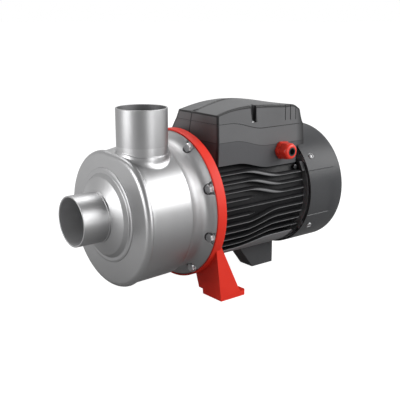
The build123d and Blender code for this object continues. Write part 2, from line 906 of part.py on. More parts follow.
def motor_housing():
    body = ring(bracket_rear, motor_rear, bore_radius, core_radius)
    reach = band_radius + 1
    faces = [fin_face(row) for row in fin_rows] + [straight_fin_face(row, short_fin_end) for row in short_rows]
    faces.append(straight_fin_face(0, motor_length - fin_end_inset - 2 * fin_thickness))
    fins = [across(face, -reach, reach) & fin_ring(fin_radius) for face in faces]
    band = across(under_wave(band_row, fin_thickness / 2, -reach), -reach, reach) & fin_ring(band_radius)
    rails = spread(rod(bracket_rear, motor_rear, rail_radius, 0, bracket_screw_circle), (30, 330))
    rails = [rail - rod(bracket_rear, motor_rear, bore_radius) for rail in rails]
    body = body + fins + [band] + rails
    depth = 2 * thread_depth
    front_taps = spread(rod(bracket_rear, bracket_rear + depth, screw_radius, 0, bracket_screw_circle),
                        bracket_screw_angles)
    rear_taps = spread(rod(motor_rear - depth, motor_rear, screw_radius, 0, bracket_screw_circle),
                       bracket_screw_angles)
    foot_taps = [post(bracket_rear + place, 0, -band_radius - 1, -core_radius + 1, foot_screw_radius)
                 for place in motor_foot_screws]
    base_taps = [post(box_start + place, 0, core_radius - 5, core_radius + 1, base_screw_radius)
                 for place in base_screw_places]
    return body - front_taps - rear_taps - foot_taps - base_taps


def stator_core():
    return ring(stator_front, stator_rear, rotor_radius + air_gap, bore_radius)


def stator_windings():
    """The two bundles of end turns."""
    corner = 5.0
    bundles = []
    for start in (stator_front - winding_length, stator_rear):
        end = start + winding_length
        bundle = ring(start, end, winding_inner, winding_outer)
        outward = Axis.X if start > stator_front else -Axis.X
        bundles.append(fillet(bundle.edges().group_by(outward)[-1], corner))
    return bundles


def rear_shield():
    body = turned([
        (motor_rear, bore_radius - seat_gap),
        (motor_rear, shield_radius),
        (shield_rear, shield_radius),
        (shield_rear, fan_seat_radius + 1.5),
        (motor_rear + 0.3, fan_seat_radius + 1.5),
        (motor_rear + 0.3, rear_bearing["outer"]),
        (rear_bearing_at, rear_bearing["outer"]),
        (rear_bearing_at, shield_hub_radius),
        (motor_rear, shield_hub_radius),
        (motor_rear, bore_radius - seat_gap - spigot_wall),
        (motor_rear - shield_spigot, bore_radius - seat_gap - spigot_wall),
        (motor_rear - shield_spigot, bore_radius - seat_gap),
    ])
    half = lug_width / 2
    lug = block(motor_rear, motor_rear + lug_length, -half, half, lug_inner, cover_radius)
    lug = lug & ring(motor_rear, motor_rear + lug_length, lug_inner, cover_inner)
    body = body + spread(lug, cover_screw_angles)
    taps = spread(post(cover_front + cover_screw_from_front, 0, lug_inner, cover_inner, cover_screw_radius),
                  cover_screw_angles)
    holes = spread(rod(motor_rear, shield_rear, screw_radius, 0, bracket_screw_circle), bracket_screw_angles)
    return body - taps - holes


def shield_screw():
    head = rod(shield_rear, shield_rear + screw_head_height, cap_head_radius, 0, bracket_screw_circle)
    shank = rod(motor_rear - thread_depth, shield_rear, screw_radius, 0, bracket_screw_circle)
    socket = hexagon(shield_rear + screw_head_height / 2, shield_rear + screw_head_height, cap_head_radius,
                     0, bracket_screw_circle)
    return head + shank - socket


def fan_cover():
    """A deep-drawn cover with rows of air slots and a shallow panel on each side."""
    can = rod(cover_front, cover_rear, cover_radius)
    can = fillet(can.edges().group_by(Axis.X)[-1], cover_edge)
    hollow = rod(cover_front, cover_rear - cover_wall, cover_inner)
    hollow = fillet(hollow.edges().group_by(Axis.X)[-1], cover_edge - cover_wall)
    slots = []
    for count, (low, high, width) in zip(slot_counts, slot_rings):
        slot = block(cover_rear - 2 * cover_wall, cover_rear, -width / 2, width / 2, low, high)
        slots += spread(slot, [360 / count * (n + 0.5) for n in range(count)])
    start = cover_front + panel_margin
    end = cover_rear - panel_rear_margin
    panel = ring(start, end, cover_radius - panel_depth, cover_radius + 1) & block(
        start, end, -cover_radius - 1, cover_radius + 1, -panel_half_height, panel_half_height)
    holes = spread(post(cover_front + cover_screw_from_front, 0, cover_inner - 1, cover_radius + 1,
                        cover_screw_radius), cover_screw_angles)
    return can - hollow - slots - panel - holes


def cover_screw():
    place = cover_front + cover_screw_from_front
    seat = cover_radius
    top = seat + cover_head_height
    profile = Plane.XZ * make_face(Polyline(
        (0, seat - 1), (cover_head_radius, seat - 1), (cover_head_radius, seat + cover_head_height / 3),
        (cover_head_radius / 2, top), (0, top), close=True))
    head = Pos(place, 0, 0) * revolve(profile, Axis.Z) - rod(cover_front, cover_rear, cover_radius)
    return head + post(place, 0, lug_inner + 1, top - cover_head_height / 2, cover_screw_radius)


def motor_foot():
    """A narrow block under the motor's rear end, with a raked front."""
    floor = -shaft_height
    side = side_face(Polyline(
        (bracket_rear + motor_foot_top_front, -core_radius),
        (bracket_rear + motor_foot_front, floor),
        (bracket_rear + motor_foot_rear, floor),
        (bracket_rear + motor_foot_rear, -core_radius),
        close=True,
    ))
    body = across(side, -motor_foot_half, motor_foot_half) - rod(bracket_rear, motor_rear, band_radius)
    recess_top = floor + foot_screw_recess
    for place in motor_foot_screws:
        body = body - post(bracket_rear + place, 0, floor, recess_top, foot_screw_head + screw_clearance)
        body = body - post(bracket_rear + place, 0, floor, -core_radius, foot_screw_radius)
    return body


def foot_screw(place):
    recess_top = -shaft_height + foot_screw_recess
    x = bracket_rear + place
    head = post(x, 0, recess_top - screw_head_height, recess_top, foot_screw_head)
    return head + post(x, 0, recess_top, -core_radius, foot_screw_radius)


def earth_screw():
    x = bracket_rear + earth_screw_at
    z = earth_screw_row * fin_pitch
    side = math.sqrt(core_radius**2 - z**2)
    head = Pos(x, -side - earth_screw_height, z) * Rot(90, 0, 0) * Cylinder(earth_screw_head, earth_screw_height)
    shank = Pos(x, -side, z) * Rot(90, 0, 0) * Cylinder(earth_screw_head / 2, 2 * earth_screw_height)
    return (head + shank) - rod(bracket_rear, motor_rear, core_radius)


# Terminal box

box_start = bracket_rear + box_front
box_end = bracket_rear + box_rear
box_floor = core_radius + box_wall


def box_section(inset):
    """The box seen from the front: near wall with a waist, slanted far wall."""
    slant = inset * 1.12
    return Plane.YZ * make_face(Polyline(
        (-box_near_low + inset, 0),
        (-box_near + inset, box_waist),
        (-box_near_top + inset, 2 * lid_ridge_height),
        (box_far_top - slant - 2 * lid_ridge_height + box_far_top_height, 2 * lid_ridge_height),
        (box_far_top - slant, box_far_top_height),
        (box_far_low - slant, box_far_low_height),
        (box_far_low - slant + box_far_low_height / 2, 0),
        close=True,
    ))


def lid_section(y, crown, inset):
    """The box seen from the side, at one place across the shaft, up to the arched lid."""
    front = box_start + inset
    rear_top = bracket_rear + box_rear_top - inset
    return Pos(0, y, 0) * side_face(
        ThreePointArc((front, lid_front_height - inset), (box_start + lid_crown_at, crown - inset),
                      (rear_top, lid_rear_height - inset)),
        Polyline((rear_top, lid_rear_height - inset), (box_end - inset - 1.5, lid_rear_low_height - inset),
                 (box_end - inset, 0), (front, 0), (front, lid_front_height - inset)),
    )


def box_block(inset):
    """Base and lid as one solid form, shrunk by an inset on every side."""
    near = loft([lid_section(-box_near - 1, lid_near_height, inset), lid_section(-box_ridge, lid_ridge_height, inset)],
                ruled=True)
    far = loft([lid_section(-box_ridge, lid_ridge_height, inset), lid_section(box_far_low + 30, lid_far_height - 8, inset)],
               ruled=True)
    length = extrude(box_section(inset), 3 * motor_length, dir=(1, 0, 0), both=True)
    return (near + far) & length


def box_lead(height):
    """How far a wave on the box runs ahead of the fins: not at all at its foot, most at the seam."""
    foot = box_bottom_row * fin_pitch
    return -box_seam_lead * min(max((height - foot) / (box_seam - foot), 0), 1)


def box_band(low, high, margin_low=0.0, margin_high=0.0):
    """All that lies between two waves in the side view, right across the box."""
    start = box_start - 1
    lower = wave(start, low + margin_low, -fin_pitch, box_lead(low), box_end + 1)
    upper = wave(start, high + margin_high, -fin_pitch, box_lead(high), box_end + 1)
    ends = [
        Line((start, low + margin_low), (start, high + margin_high)),
        Line((box_end + 1, low + margin_low - fin_pitch), (box_end + 1, high + margin_high - fin_pitch)),
    ]
    reach = box_near + box_far_low
    return across(side_face(*lower, *upper, *ends), -reach, reach)


def rear_step(inset):
    """The space below the overhang at the rear, over the fan cover."""
    low_end = bracket_rear + box_rear_low - inset
    reach = box_near + box_far_low
    under = block(low_end, box_end + 1, -reach, reach, 0, box_step + inset)
    return under + rod(low_end, box_end + 1, cover_radius + 1 + inset)


def pocket_space(margin):
    """The upright recess for a lid screw in the near side."""
    middle = box_start + lid_pocket_at
    half = lid_pocket_width / 2 + margin
    depth = lid_pocket_depth + margin
    return block(middle - half, middle + half, -box_near - 1, -box_near_top + depth,
                 lid_pocket_height - margin, 2 * lid_ridge_height)


def gland_axis_bar(start, end, radius):
    """A round bar across the shaft on the gland's axis, by distances from the shaft's plane."""
    x = box_start + gland_at
    return Pos(x, -(start + end) / 2, gland_height) * Rot(90, 0, 0) * Cylinder(radius, end - start)


def gland_hexagon(start, end, across_flats):
    face = RegularPolygon(across_flats / 2, 6, major_radius=False)
    plane = Plane(origin=(box_start + gland_at, -start, gland_height), x_dir=(1, 0, 0), z_dir=(0, -1, 0))
    return extrude(plane * face, end - start)


def lid_screw_places():
    """The lid's two screws: one in the pocket of the near side, one inside the far wall."""
    x = box_start + lid_pocket_at
    return (x, -box_near_top + lid_pocket_depth / 2), (x, box_far_top - 2 * lid_screw_head)


def lid_screw_holes():
    return [post(x, y, lid_pocket_height - lid_screw_length, 2 * lid_ridge_height, lid_screw_radius)
            for x, y in lid_screw_places()]


def terminal_base():
    outer = box_block(0) & box_band(box_bottom_row * fin_pitch, box_seam)
    inner = box_block(box_wall) & box_band(box_bottom_row * fin_pitch, box_seam, box_wall, 1)
    inner = inner - rod(box_start, box_end, box_floor) - rear_step(box_wall)
    lug = pocket_space(box_wall) & box_block(0) & box_band(box_seam - 20, box_seam)
    far_x, far_y = lid_screw_places()[1]
    far_lug = post(far_x, far_y, core_radius, box_seam, 2 * lid_screw_head) & box_block(0)
    far_lug = far_lug & box_band(0, box_seam)
    body = (outer - inner - rear_step(0)) + lug + (far_lug - rod(box_start, box_end, core_radius))
    body = body - rod(box_start - 1, box_end, core_radius) - pocket_space(0)
    rails = spread(rod(bracket_rear, motor_rear, rail_radius + rim_gap, 0, bracket_screw_circle), (30, 330))
    taps = lid_screw_holes() + [post(box_start + place, 0, core_radius - 1, box_floor + 1, base_screw_radius) for place in base_screw_places]
    gland_hole = gland_axis_bar(box_near_top - 3 * box_wall, box_near + 1, gland_thread)
    inside = box_near_top - box_wall
    spot_face = gland_axis_bar(inside - gland_locknut - 1, inside, gland_spot_face)
    return body - rails - taps - gland_hole - spot_face


def terminal_gasket():
    band = box_band(box_seam, box_seam, 0, gasket)
    body = (box_block(gasket_inset) - box_block(box_wall)) & band
    return body - pocket_space(0) - lid_screw_holes()


def terminal_lid():
    above = box_band(box_seam, 2 * lid_ridge_height, gasket, 0)
    body = (box_block(0) - (box_block(box_wall) - pocket_space(box_wall))) & above
    far_x, far_y = lid_screw_places()[1]
    far_post = post(far_x, far_y, box_seam - fin_pitch, 2 * lid_ridge_height, 2 * lid_screw_head)
    body = body + (far_post & box_block(0) & above)
    body = body - pocket_space(0)
    sink = post(far_x, far_y, lid_pocket_height + lid_screw_sink, 2 * lid_ridge_height,
                lid_screw_head + screw_clearance)
    half = groove_width / 2
    grooves = [block(box_start + place - half, box_start + place + half, -box_near - 1,
                     -box_near_top + groove_depth, groove_low, 2 * lid_ridge_height) for place in groove_places]
    return body - lid_screw_holes() - sink - grooves


def lid_screws():
    screws = []
    for (x, y), seat in zip(lid_screw_places(), (lid_pocket_height, lid_pocket_height + lid_screw_sink)):
        head = post(x, y, seat, seat + lid_screw_radius, lid_screw_head)
        screws.append(head + post(x, y, lid_pocket_height - lid_screw_length, seat, lid_screw_radius))
    return screws


def base_screws():
    screws = []
    for place in base_screw_places:
        x = box_start + place
        head = post(x, 0, box_floor, box_floor + base_screw_radius, base_screw_head)
        screws.append(head + post(x, 0, core_radius - 5, box_floor, base_screw_radius))
    return screws


def capacitor():
    start = box_start + capacitor_at
    height = box_floor + capacitor_radius + clip_thickness
    can = rod(start, start + capacitor_length, capacitor_radius, -capacitor_side, height)
    return fillet(can.edges().group_by(Axis.X)[-1], 2.0)


def terminal_block():
    start = box_start + block_at
    half = block_width / 2
    body = block(start, start + block_length, -half, half, box_floor - box_wall, box_floor + block_height)
    return body - rod(start, start + block_length, box_floor)


def stud_places():
    step = block_width / stud_count
    return [step * (n - (stud_count - 1) / 2) for n in range(stud_count)]


def terminal_studs():
    top = box_floor + block_height
    x = box_start + block_at + block_length / 2
    return [post(x, y, top, top + stud_height, stud_radius) for y in stud_places()]


def gland_body():
    face = box_near
    inside = box_near_top - box_wall
    body = gland_hexagon(face, face + gland_hex_length, gland_hex_across)
    body = body + gland_axis_bar(inside - gland_locknut - 1, face, gland_thread)
    body = body + gland_axis_bar(face, face + gland_hex_length + gland_sleeve_length, gland_thread - 1)
    return body - gland_axis_bar(inside - gland_locknut - 1, face + gland_hex_length + gland_sleeve_length, gland_bore)


def gland_nut():
    """The domed nut, six-sided at its root."""
    start = box_near + gland_hex_length + seat_gap
    end = start + gland_nut_length
    plane = Plane(origin=(box_start + gland_at, 0, gland_height), x_dir=(1, 0, 0), z_dir=(0, 0, 1))
    profile = make_face(Polyline(
        (0, -start), (gland_nut_radius + 1, -start), (gland_nut_radius + 1, -start - gland_nut_length / 2),
        (gland_nut_radius - 1, -end + gland_nut_length / 4), (gland_nut_tip, -end), (0, -end), close=True))
    dome = revolve(plane * profile, Axis((box_start + gland_at, 0, gland_height), (0, 1, 0)))
    outer = gland_hexagon(start, end, 2 * gland_nut_radius) & dome
    cavity_end = start + gland_sleeve_length
    return outer - gland_axis_bar(start, cavity_end, gland_thread - 1) - gland_axis_bar(start, end, gland_bore)


def gland_seal():
    """The rubber sleeve that grips the cable."""
    start = box_near + gland_hex_length / 2
    end = box_near + gland_hex_length + gland_nut_length - gland_seal_margin
    return gland_axis_bar(start, end, gland_bore) - gland_axis_bar(start, end, cable_radius)


def gland_locknut_ring():
    inside = box_near_top - box_wall
    body = gland_hexagon(inside - gland_locknut, inside, gland_locknut_across)
    return body - gland_axis_bar(inside - gland_locknut, inside, gland_thread)


def place_on_floor(shape):
    """One solid or a group of solids, lifted so that the floor is at zero height."""
    pieces = shape if isinstance(shape, list) else [shape]
    solids = [solid for piece in pieces for solid in piece.solids()]
    lifted = [Pos(0, 0, shaft_height) * solid for solid in solids]
    return lifted[0] if len(lifted) == 1 else Compound(children=lifted)


parts = {
    "suction_stub": suction_stub,
    "suction_cone": suction_cone,
    "volute_casing": volute_casing,
    "discharge_stub": discharge_stub,
    "casing_flange": casing_flange,
    "flange_screws": lambda: spread(flange_screw(), flange_screw_angles()),
    "flange_washers": lambda: spread(flange_washer(), flange_screw_angles()),
    "casing_o_ring": casing_o_ring,
    "seal_plate": seal_plate,
    "inlet_ring": inlet_ring,
    "impeller": impeller,
    "impeller_key": key_block,
    "impeller_washer": impeller_washer,
    "impeller_nut": impeller_nut,
    "seal_seat": seal_seat,
    "seal_face": seal_face,
    "seal_bellows": seal_bellows,
    "water_slinger": water_slinger,
    "bracket": bracket,
    "bracket_screws": lambda: spread(bracket_screw(), bracket_screw_angles),
    "shaft": shaft,
    "front_bearing_outer": lambda: bearing_outer(front_bearing, front_bearing_at),
    "front_bearing_inner": lambda: bearing_inner(front_bearing, front_bearing_at),
    "front_bearing_balls": lambda: bearing_balls(front_bearing, front_bearing_at),
    "rear_bearing_outer": lambda: bearing_outer(rear_bearing, rear_bearing_at),
    "rear_bearing_inner": lambda: bearing_inner(rear_bearing, rear_bearing_at),
    "rear_bearing_balls": lambda: bearing_balls(rear_bearing, rear_bearing_at),
    "wave_washer": lambda: ring(bearing_stop, motor_rear + 0.3, rear_bearing["outer"] - 3, rear_bearing["outer"]),
    "rotor_core": rotor_core,
    "rotor_end_rings": rotor_end_rings,
    "motor_housing": motor_housing,
    "stator_core": stator_core,
    "stator_windings": stator_windings,
    "rear_shield": rear_shield,
    "shield_screws": lambda: spread(shield_screw(), bracket_screw_angles),
    "fan": fan,
    "fan_clip": fan_clip_ring,
    "fan_cover": fan_cover,
    "cover_screws": lambda: spread(cover_screw(), cover_screw_angles),
    "motor_foot": motor_foot,
    "foot_screws": lambda: [foot_screw(place) for place in motor_foot_screws],
    "earth_screw": earth_screw,
    "terminal_base": terminal_base,
    "terminal_gasket": terminal_gasket,
    "terminal_lid": terminal_lid,
    "lid_screws": lid_screws,
    "base_screws": base_screws,
    "capacitor": capacitor,
    "terminal_block": terminal_block,
    "terminal_studs": terminal_studs,
    "gland_body": gland_body,
    "gland_nut": gland_nut,
    "gland_seal": gland_seal,
    "gland_locknut": gland_locknut_ring,
}

os.makedirs("parts", exist_ok=True)
for name, make in parts.items():
    export_step(place_on_floor(make()), f"parts/{name}.step")
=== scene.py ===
import json
import math

import bmesh
import bpy
import numpy as np
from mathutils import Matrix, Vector


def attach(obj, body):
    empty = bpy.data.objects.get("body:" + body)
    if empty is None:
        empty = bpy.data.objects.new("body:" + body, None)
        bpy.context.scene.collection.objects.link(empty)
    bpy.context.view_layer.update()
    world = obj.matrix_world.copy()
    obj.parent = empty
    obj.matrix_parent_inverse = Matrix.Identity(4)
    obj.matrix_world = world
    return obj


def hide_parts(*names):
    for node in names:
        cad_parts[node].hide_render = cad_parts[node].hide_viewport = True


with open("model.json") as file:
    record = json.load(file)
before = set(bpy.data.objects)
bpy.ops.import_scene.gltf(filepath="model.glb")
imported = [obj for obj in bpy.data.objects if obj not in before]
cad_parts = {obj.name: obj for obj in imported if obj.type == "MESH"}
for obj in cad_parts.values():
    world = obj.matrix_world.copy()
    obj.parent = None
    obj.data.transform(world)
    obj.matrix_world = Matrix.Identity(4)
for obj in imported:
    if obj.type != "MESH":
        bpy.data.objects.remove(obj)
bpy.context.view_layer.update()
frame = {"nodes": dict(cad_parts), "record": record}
mm = 0.001
lift = 110.0  # shaft height above the floor, all shapes below are worked out about the shaft
meshWork = dict(join=3e-6, degenerate=1e-6, bevelSegments=3, bevelAngle=25)


# Tools for surfaces

# corner points (a, b, radius), each corner replaced by its circular arc, as a rational quadratic curve
def roundedLoop(corners, steps=6):
    data = np.asarray(corners, float)
    point, radius = data[:, :2], data[:, 2]
    back = np.roll(point, 1, 0) - point
    ahead = np.roll(point, -1, 0) - point
    back /= np.linalg.norm(back, axis=1, keepdims=True)
    ahead /= np.linalg.norm(ahead, axis=1, keepdims=True)
    half = np.arccos(np.clip((back * ahead).sum(1), -0.99999, 0.99999)) / 2
    reach = (radius / np.tan(half))[:, None]
    t = np.linspace(0, 1, steps)[None, :, None]
    bend = 2 * t * (1 - t) * np.sin(half)[:, None, None]
    first = (point + back * reach)[:, None]
    last = (point + ahead * reach)[:, None]
    top = (1 - t) ** 2 * first + bend * point[:, None] + t**2 * last
    return (top / ((1 - t) ** 2 + bend + t**2)).reshape(-1, 2)


# rows of points round the shaft at places x: y = -r sin(angle), z = r cos(angle)
def ringGrid(x, radius, angle):
    x = np.repeat(np.reshape(x, (-1, 1)), len(angle), 1)
    return np.stack([x, -radius * np.sin(angle), radius * np.cos(angle)], -1)


# a profile (place, radius) carried round the shaft
def turnedGrid(profile, segments=144):
    profile = np.asarray(profile, float)
    return ringGrid(profile[:, 0], profile[:, 1:], np.linspace(0, 2 * np.pi, segments, endpoint=False))


# a turned grid stood upright over a point, x pointing down, or up where the sign is 1
def upright(grid, x, y, sign=-1):
    return np.stack([grid[..., 1] + x, grid[..., 2] + y, sign * grid[..., 0]], -1)


# a polygon (u, v) carried along one axis, its ends closed
def prismGrid(loop, low, high, axis):
    loop = np.asarray(loop, float)
    grid = np.zeros((2, len(loop), 3))
    grid[..., axis] = np.array([[low], [high]], float)
    grid[..., [n for n in range(3) if n != axis]] = loop[None]
    return grid


# radius of a hexagon at each angle, from half its width across: half / cos(angle from the nearest flat)
def hexagonRadius(half, angle):
    return half / np.cos(np.mod(angle + np.pi / 6, np.pi / 3) - np.pi / 6)


# points turned about the shaft from the top towards the gland's side
def turnAround(grid, degrees):
    a = math.radians(degrees)
    turn = np.array([[1, 0, 0], [0, math.cos(a), -math.sin(a)], [0, math.sin(a), math.cos(a)]])
    return grid @ turn.T


# smooth line through given points: cubic Hermite with averaged slopes
def smoothLine(table, x):
    px, py = table[:, 0], table[:, 1]
    slope = np.gradient(py, px)
    n = np.clip(np.searchsorted(px, x) - 1, 0, len(px) - 2)
    h = px[n + 1] - px[n]
    t = np.clip((x - px[n]) / h, 0, 1)
    return ((2 * t**3 - 3 * t**2 + 1) * py[n] + (t**3 - 2 * t**2 + t) * h * slope[n]
            + (-2 * t**3 + 3 * t**2) * py[n + 1] + (t**3 - t**2) * h * slope[n + 1])


# 0 to 1 as t^2 (3 - 2t)
def smoothStep(t):
    t = np.clip(t, 0, 1)
    return t * t * (3 - 2 * t)


# quads between the rows and columns of a grid, as one array
def gridFaces(rows, columns, closeRows, closeColumns, offset):
    r = np.arange(rows if closeRows else rows - 1)[:, None]
    c = np.arange(columns if closeColumns else columns - 1)[None]
    nextRow, nextColumn = (r + 1) % rows, (c + 1) % columns
    quads = [r * columns + c, r * columns + nextColumn, nextRow * columns + nextColumn, nextRow * columns + c]
    return (np.stack(np.broadcast_arrays(*quads), -1).reshape(-1, 4) + offset).tolist()


def addToScene(name, data):
    thing = bpy.data.objects.new(name, data)
    bpy.context.scene.collection.objects.link(thing)
    return thing


# shells are (grid, closeRows, closeColumns, endFaces); points go to metres and up to the shaft height
def makePiece(name, shells, material, replaced, sharp=32, bevel=0.0, marks=None):
    points, faces, count = [], [], 0
    for grid, closeRows, closeColumns, endFaces in shells:
        rows, columns = grid.shape[:2]
        points.append(grid.reshape(-1, 3))
        faces += gridFaces(rows, columns, closeRows, closeColumns, count)
        if endFaces:
            last = count + (rows - 1) * columns
            faces += [list(range(count, count + columns)), list(range(last, last + columns))]
        count += rows * columns
    mesh = bpy.data.meshes.new(name)
    mesh.from_pydata(((np.concatenate(points) + [0, 0, lift]) * mm).tolist(), [], faces)
    if marks is not None:
        shade = mesh.attributes.new("edge", "FLOAT", "POINT")
        shade.data.foreach_set("value", np.concatenate([m.reshape(-1) for m in marks]).astype(np.float32))
    work = bmesh.new()
    work.from_mesh(mesh)
    bmesh.ops.remove_doubles(work, verts=work.verts, dist=meshWork["join"])
    bmesh.ops.dissolve_degenerate(work, edges=work.edges, dist=meshWork["degenerate"])
    bmesh.ops.recalc_face_normals(work, faces=work.faces)
    work.to_mesh(mesh)
    work.free()
    mesh.materials.append(material)
    mesh.shade_smooth()
    thing = addToScene(name, mesh)
    if bevel:
        edge = thing.modifiers.new("edge", "BEVEL")
        edge.width = bevel * mm
        edge.segments = meshWork["bevelSegments"]
        edge.limit_method = "ANGLE"
        edge.angle_limit = math.radians(meshWork["bevelAngle"])
        edge.harden_normals = True
    else:
        mesh.set_sharp_from_angle(angle=math.radians(sharp))
    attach(thing, "pump_body")
    if replaced:
        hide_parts(*replaced)
    return thing


def solid(grid):
    return (grid, True, True, False)


def tube(grid):
    return (grid, False, True, False)


def prism(grid):
    return (grid, False, True, True)


def patch(grid):
    return (grid, False, False, False)


print("tools ready")


# Finishes

noiseWork = dict(roughness=0.55, mottle=4, shade=3, fine=2)


def newMaterial(name):
    material = bpy.data.materials.new(name)
    material.use_nodes = True
    tree = material.node_tree
    place = tree.nodes.new("ShaderNodeTexCoord")
    return material, tree, tree.nodes["Principled BSDF"], place.outputs["Object"]


# a plain value or colour is set on the socket itself, anything else is linked to it
def feed(tree, node, inputs):
    for name, value in inputs.items():
        socket = node.inputs[name]
        if isinstance(value, tuple):
            socket.default_value = (*value, 1)[:len(socket.default_value)]
        elif isinstance(value, (int, float)):
            socket.default_value = value
        else:
            tree.links.new(value, socket)


def addNode(tree, kind, inputs, **settings):
    node = tree.nodes.new("ShaderNode" + kind)
    for name, value in settings.items():
        setattr(node, name, value)
    feed(tree, node, inputs)
    return node.outputs


# noise of one size, stretched by a scale on each axis
def noiseNode(tree, place, scale, detail, stretch=(1, 1, 1)):
    mapped = addNode(tree, "Mapping", {"Scale": stretch, "Vector": place})["Vector"]
    inputs = {"Vector": mapped, "Scale": scale, "Detail": detail, "Roughness": noiseWork["roughness"]}
    return addNode(tree, "TexNoise", inputs)["Fac"]


def rangeNode(tree, value, low, high, fromLow=0.3, fromHigh=0.7, kind="LINEAR"):
    inputs = {"Value": value, "From Min": fromLow, "From Max": fromHigh, "To Min": low, "To Max": high}
    return addNode(tree, "MapRange", inputs, interpolation_type=kind)["Result"]


def mathNode(tree, operation, *values):
    return addNode(tree, "Math", dict(enumerate(values)), operation=operation)[0]


# both colours may be plain or linked
def mixColour(tree, factor, first, second):
    return addNode(tree, "Mix", {"Factor": factor, "A": first, "B": second}, data_type="RGBA")["Result"]


# lays a second colour over a finish by a mask
def overlay(material, mask, colour):
    tree = material.node_tree
    shader = tree.nodes["Principled BSDF"]
    below = shader.inputs["Base Color"].links[0].from_socket
    feed(tree, shader, {"Base Color": mixColour(tree, mask, below, colour)})


def axesOf(tree, place):
    return addNode(tree, "SeparateXYZ", {0: place})


# the "edge" attribute, 1 on marked points: the bore of a pipe, and the painted dark lines of the box
def markedPoints(tree):
    return addNode(tree, "Attribute", {}, attribute_name="edge")["Fac"]


# two shades by one noise, gloss and bump by the same or another
def finish(tree, shader, look, shade, glossNoise, bumpNoise):
    bump = addNode(tree, "Bump", {"Strength": look["bump"], "Distance": look["depth"], "Height": bumpNoise})
    feed(tree, shader, {
        "Base Color": mixColour(tree, rangeNode(tree, shade, 0, 1), look["dark"], look["light"]),
        "Roughness": rangeNode(tree, glossNoise, *look["gloss"]),
        "Metallic": look.get("metal", 0.0),
        "Specular IOR Level": look.get("shine", 0.5),
        "Normal": bump["Normal"]})


# pressed sheet: fine rolling marks and an even satin gloss
def sheetSteel(name, look):
    material, tree, shader, place = newMaterial(name)
    mottle = noiseNode(tree, place, look["mottleScale"], noiseWork["mottle"])
    brushed = noiseNode(tree, place, look["brushScale"], noiseWork["fine"], look["brushStretch"])
    finish(tree, shader, look, mottle, brushed, brushed)
    return material


# pipe: as sheet outside, with a matt bore of another colour where points are marked: partly painted
# light in the suction pipe's pale bore, and painted shade in the discharge pipe's dark bore
def pipeWithPaintedBore(name, look):
    material = sheetSteel(name, look)
    tree = material.node_tree
    shader = tree.nodes["Principled BSDF"]
    inside = markedPoints(tree)
    overlay(material, inside, look["bore"])
    rough = shader.inputs["Roughness"].links[0].from_socket
    boreRough = rangeNode(tree, inside, 0.0, look["boreRoughness"], 0.0, 1.0)
    feed(tree, shader, {"Metallic": rangeNode(tree, inside, 1.0, look["boreMetal"], 0.0, 1.0),
                        "Roughness": mathNode(tree, "MAXIMUM", rough, boreRough)})
    return material


# paint or moulded plastic: fine grain as bump, two close shades, uneven gloss
def coated(name, look):
    material, tree, shader, place = newMaterial(name)
    shade = noiseNode(tree, place, look["shadeScale"], noiseWork["shade"])
    grain = noiseNode(tree, place, look["grainScale"], noiseWork["fine"])
    finish(tree, shader, look, shade, shade, grain)
    return material


# motor paint by the distance from the shaft axis, sqrt(y^2 + (z - height)^2): painted shade, near black,
# in the gaps between the fins, and a lighter painted highlight on the crests of the fins and on the band
def finnedPaintWithPaintedShade(name, look):
    material = coated(name, look)
    tree = material.node_tree
    axes = axesOf(tree, tree.nodes["Texture Coordinate"].outputs["Object"])
    up = mathNode(tree, "SUBTRACT", axes["Z"], lift * mm)
    squares = [mathNode(tree, "MULTIPLY", side, side) for side in (axes["Y"], up)]
    radius = mathNode(tree, "SQRT", mathNode(tree, "ADD", *squares))
    # painted shade in the gaps, then a painted highlight on the crests and the band
    overlay(material, rangeNode(tree, radius, 1, 0, *look["gapShadeRadius"]), look["gapShade"])
    overlay(material, rangeNode(tree, radius, 0, look["crestShare"], *look["crestRadius"]), look["crest"])
    return material


# share where a distance is within the smaller half width, none past the larger one
def lineMask(tree, distance, share, halfWidths):
    return rangeNode(tree, mathNode(tree, "ABSOLUTE", distance), share, 0, *halfWidths)


# box plastic: a darker colour below its lower wave, z < a smooth step of x, painted shade where the face
# leans in, and dark lines along that wave, the ridge, the front's leaning crease and marked edges: painted
# shade in creases, grooves, the pocket and the seam, and a dark painted reflection on rounded edges
def boxPlasticWithPaintedShade(name, look):
    material = coated(name, look)
    tree = material.node_tree
    axes = axesOf(tree, tree.nodes["Texture Coordinate"].outputs["Object"])
    wave = rangeNode(tree, axes["X"], *look["waveHeight"], *look["waveSpan"], "SMOOTHSTEP")
    below = mathNode(tree, "SUBTRACT", wave, axes["Z"])
    soft = look["lowerShadeSoft"]
    # painted shade below the lower wave
    overlay(material, rangeNode(tree, below, 0, look["lowerShadeShare"], -soft, soft), look["lower"])
    fromRidge = mathNode(tree, "ADD", axes["Y"], look["ridge"])
    ridge = lineMask(tree, fromRidge, look["ridgeShadeShare"], look["ridgeHalf"])
    high = rangeNode(tree, axes["Z"], 0, 1, *look["ridgeHeight"])
    lean = rangeNode(tree, axes["Z"], *look["creaseY"], *look["creaseHeight"])
    fromCrease = mathNode(tree, "SUBTRACT", axes["Y"], lean)
    crease = lineMask(tree, fromCrease, look["creaseShadeShare"], look["creaseHalf"])
    ahead = rangeNode(tree, axes["X"], 1, 0, *look["frontX"])
    # painted dark lines: painted shade in creases and recesses, and a dark painted reflection on marked
    # rounded edges
    for mask in (lineMask(tree, below, look["lineShare"], look["lineHalf"]),
                 mathNode(tree, "MULTIPLY", ridge, high), mathNode(tree, "MULTIPLY", crease, ahead),
                 markedPoints(tree)):
        overlay(material, mask, look["line"])
    return material


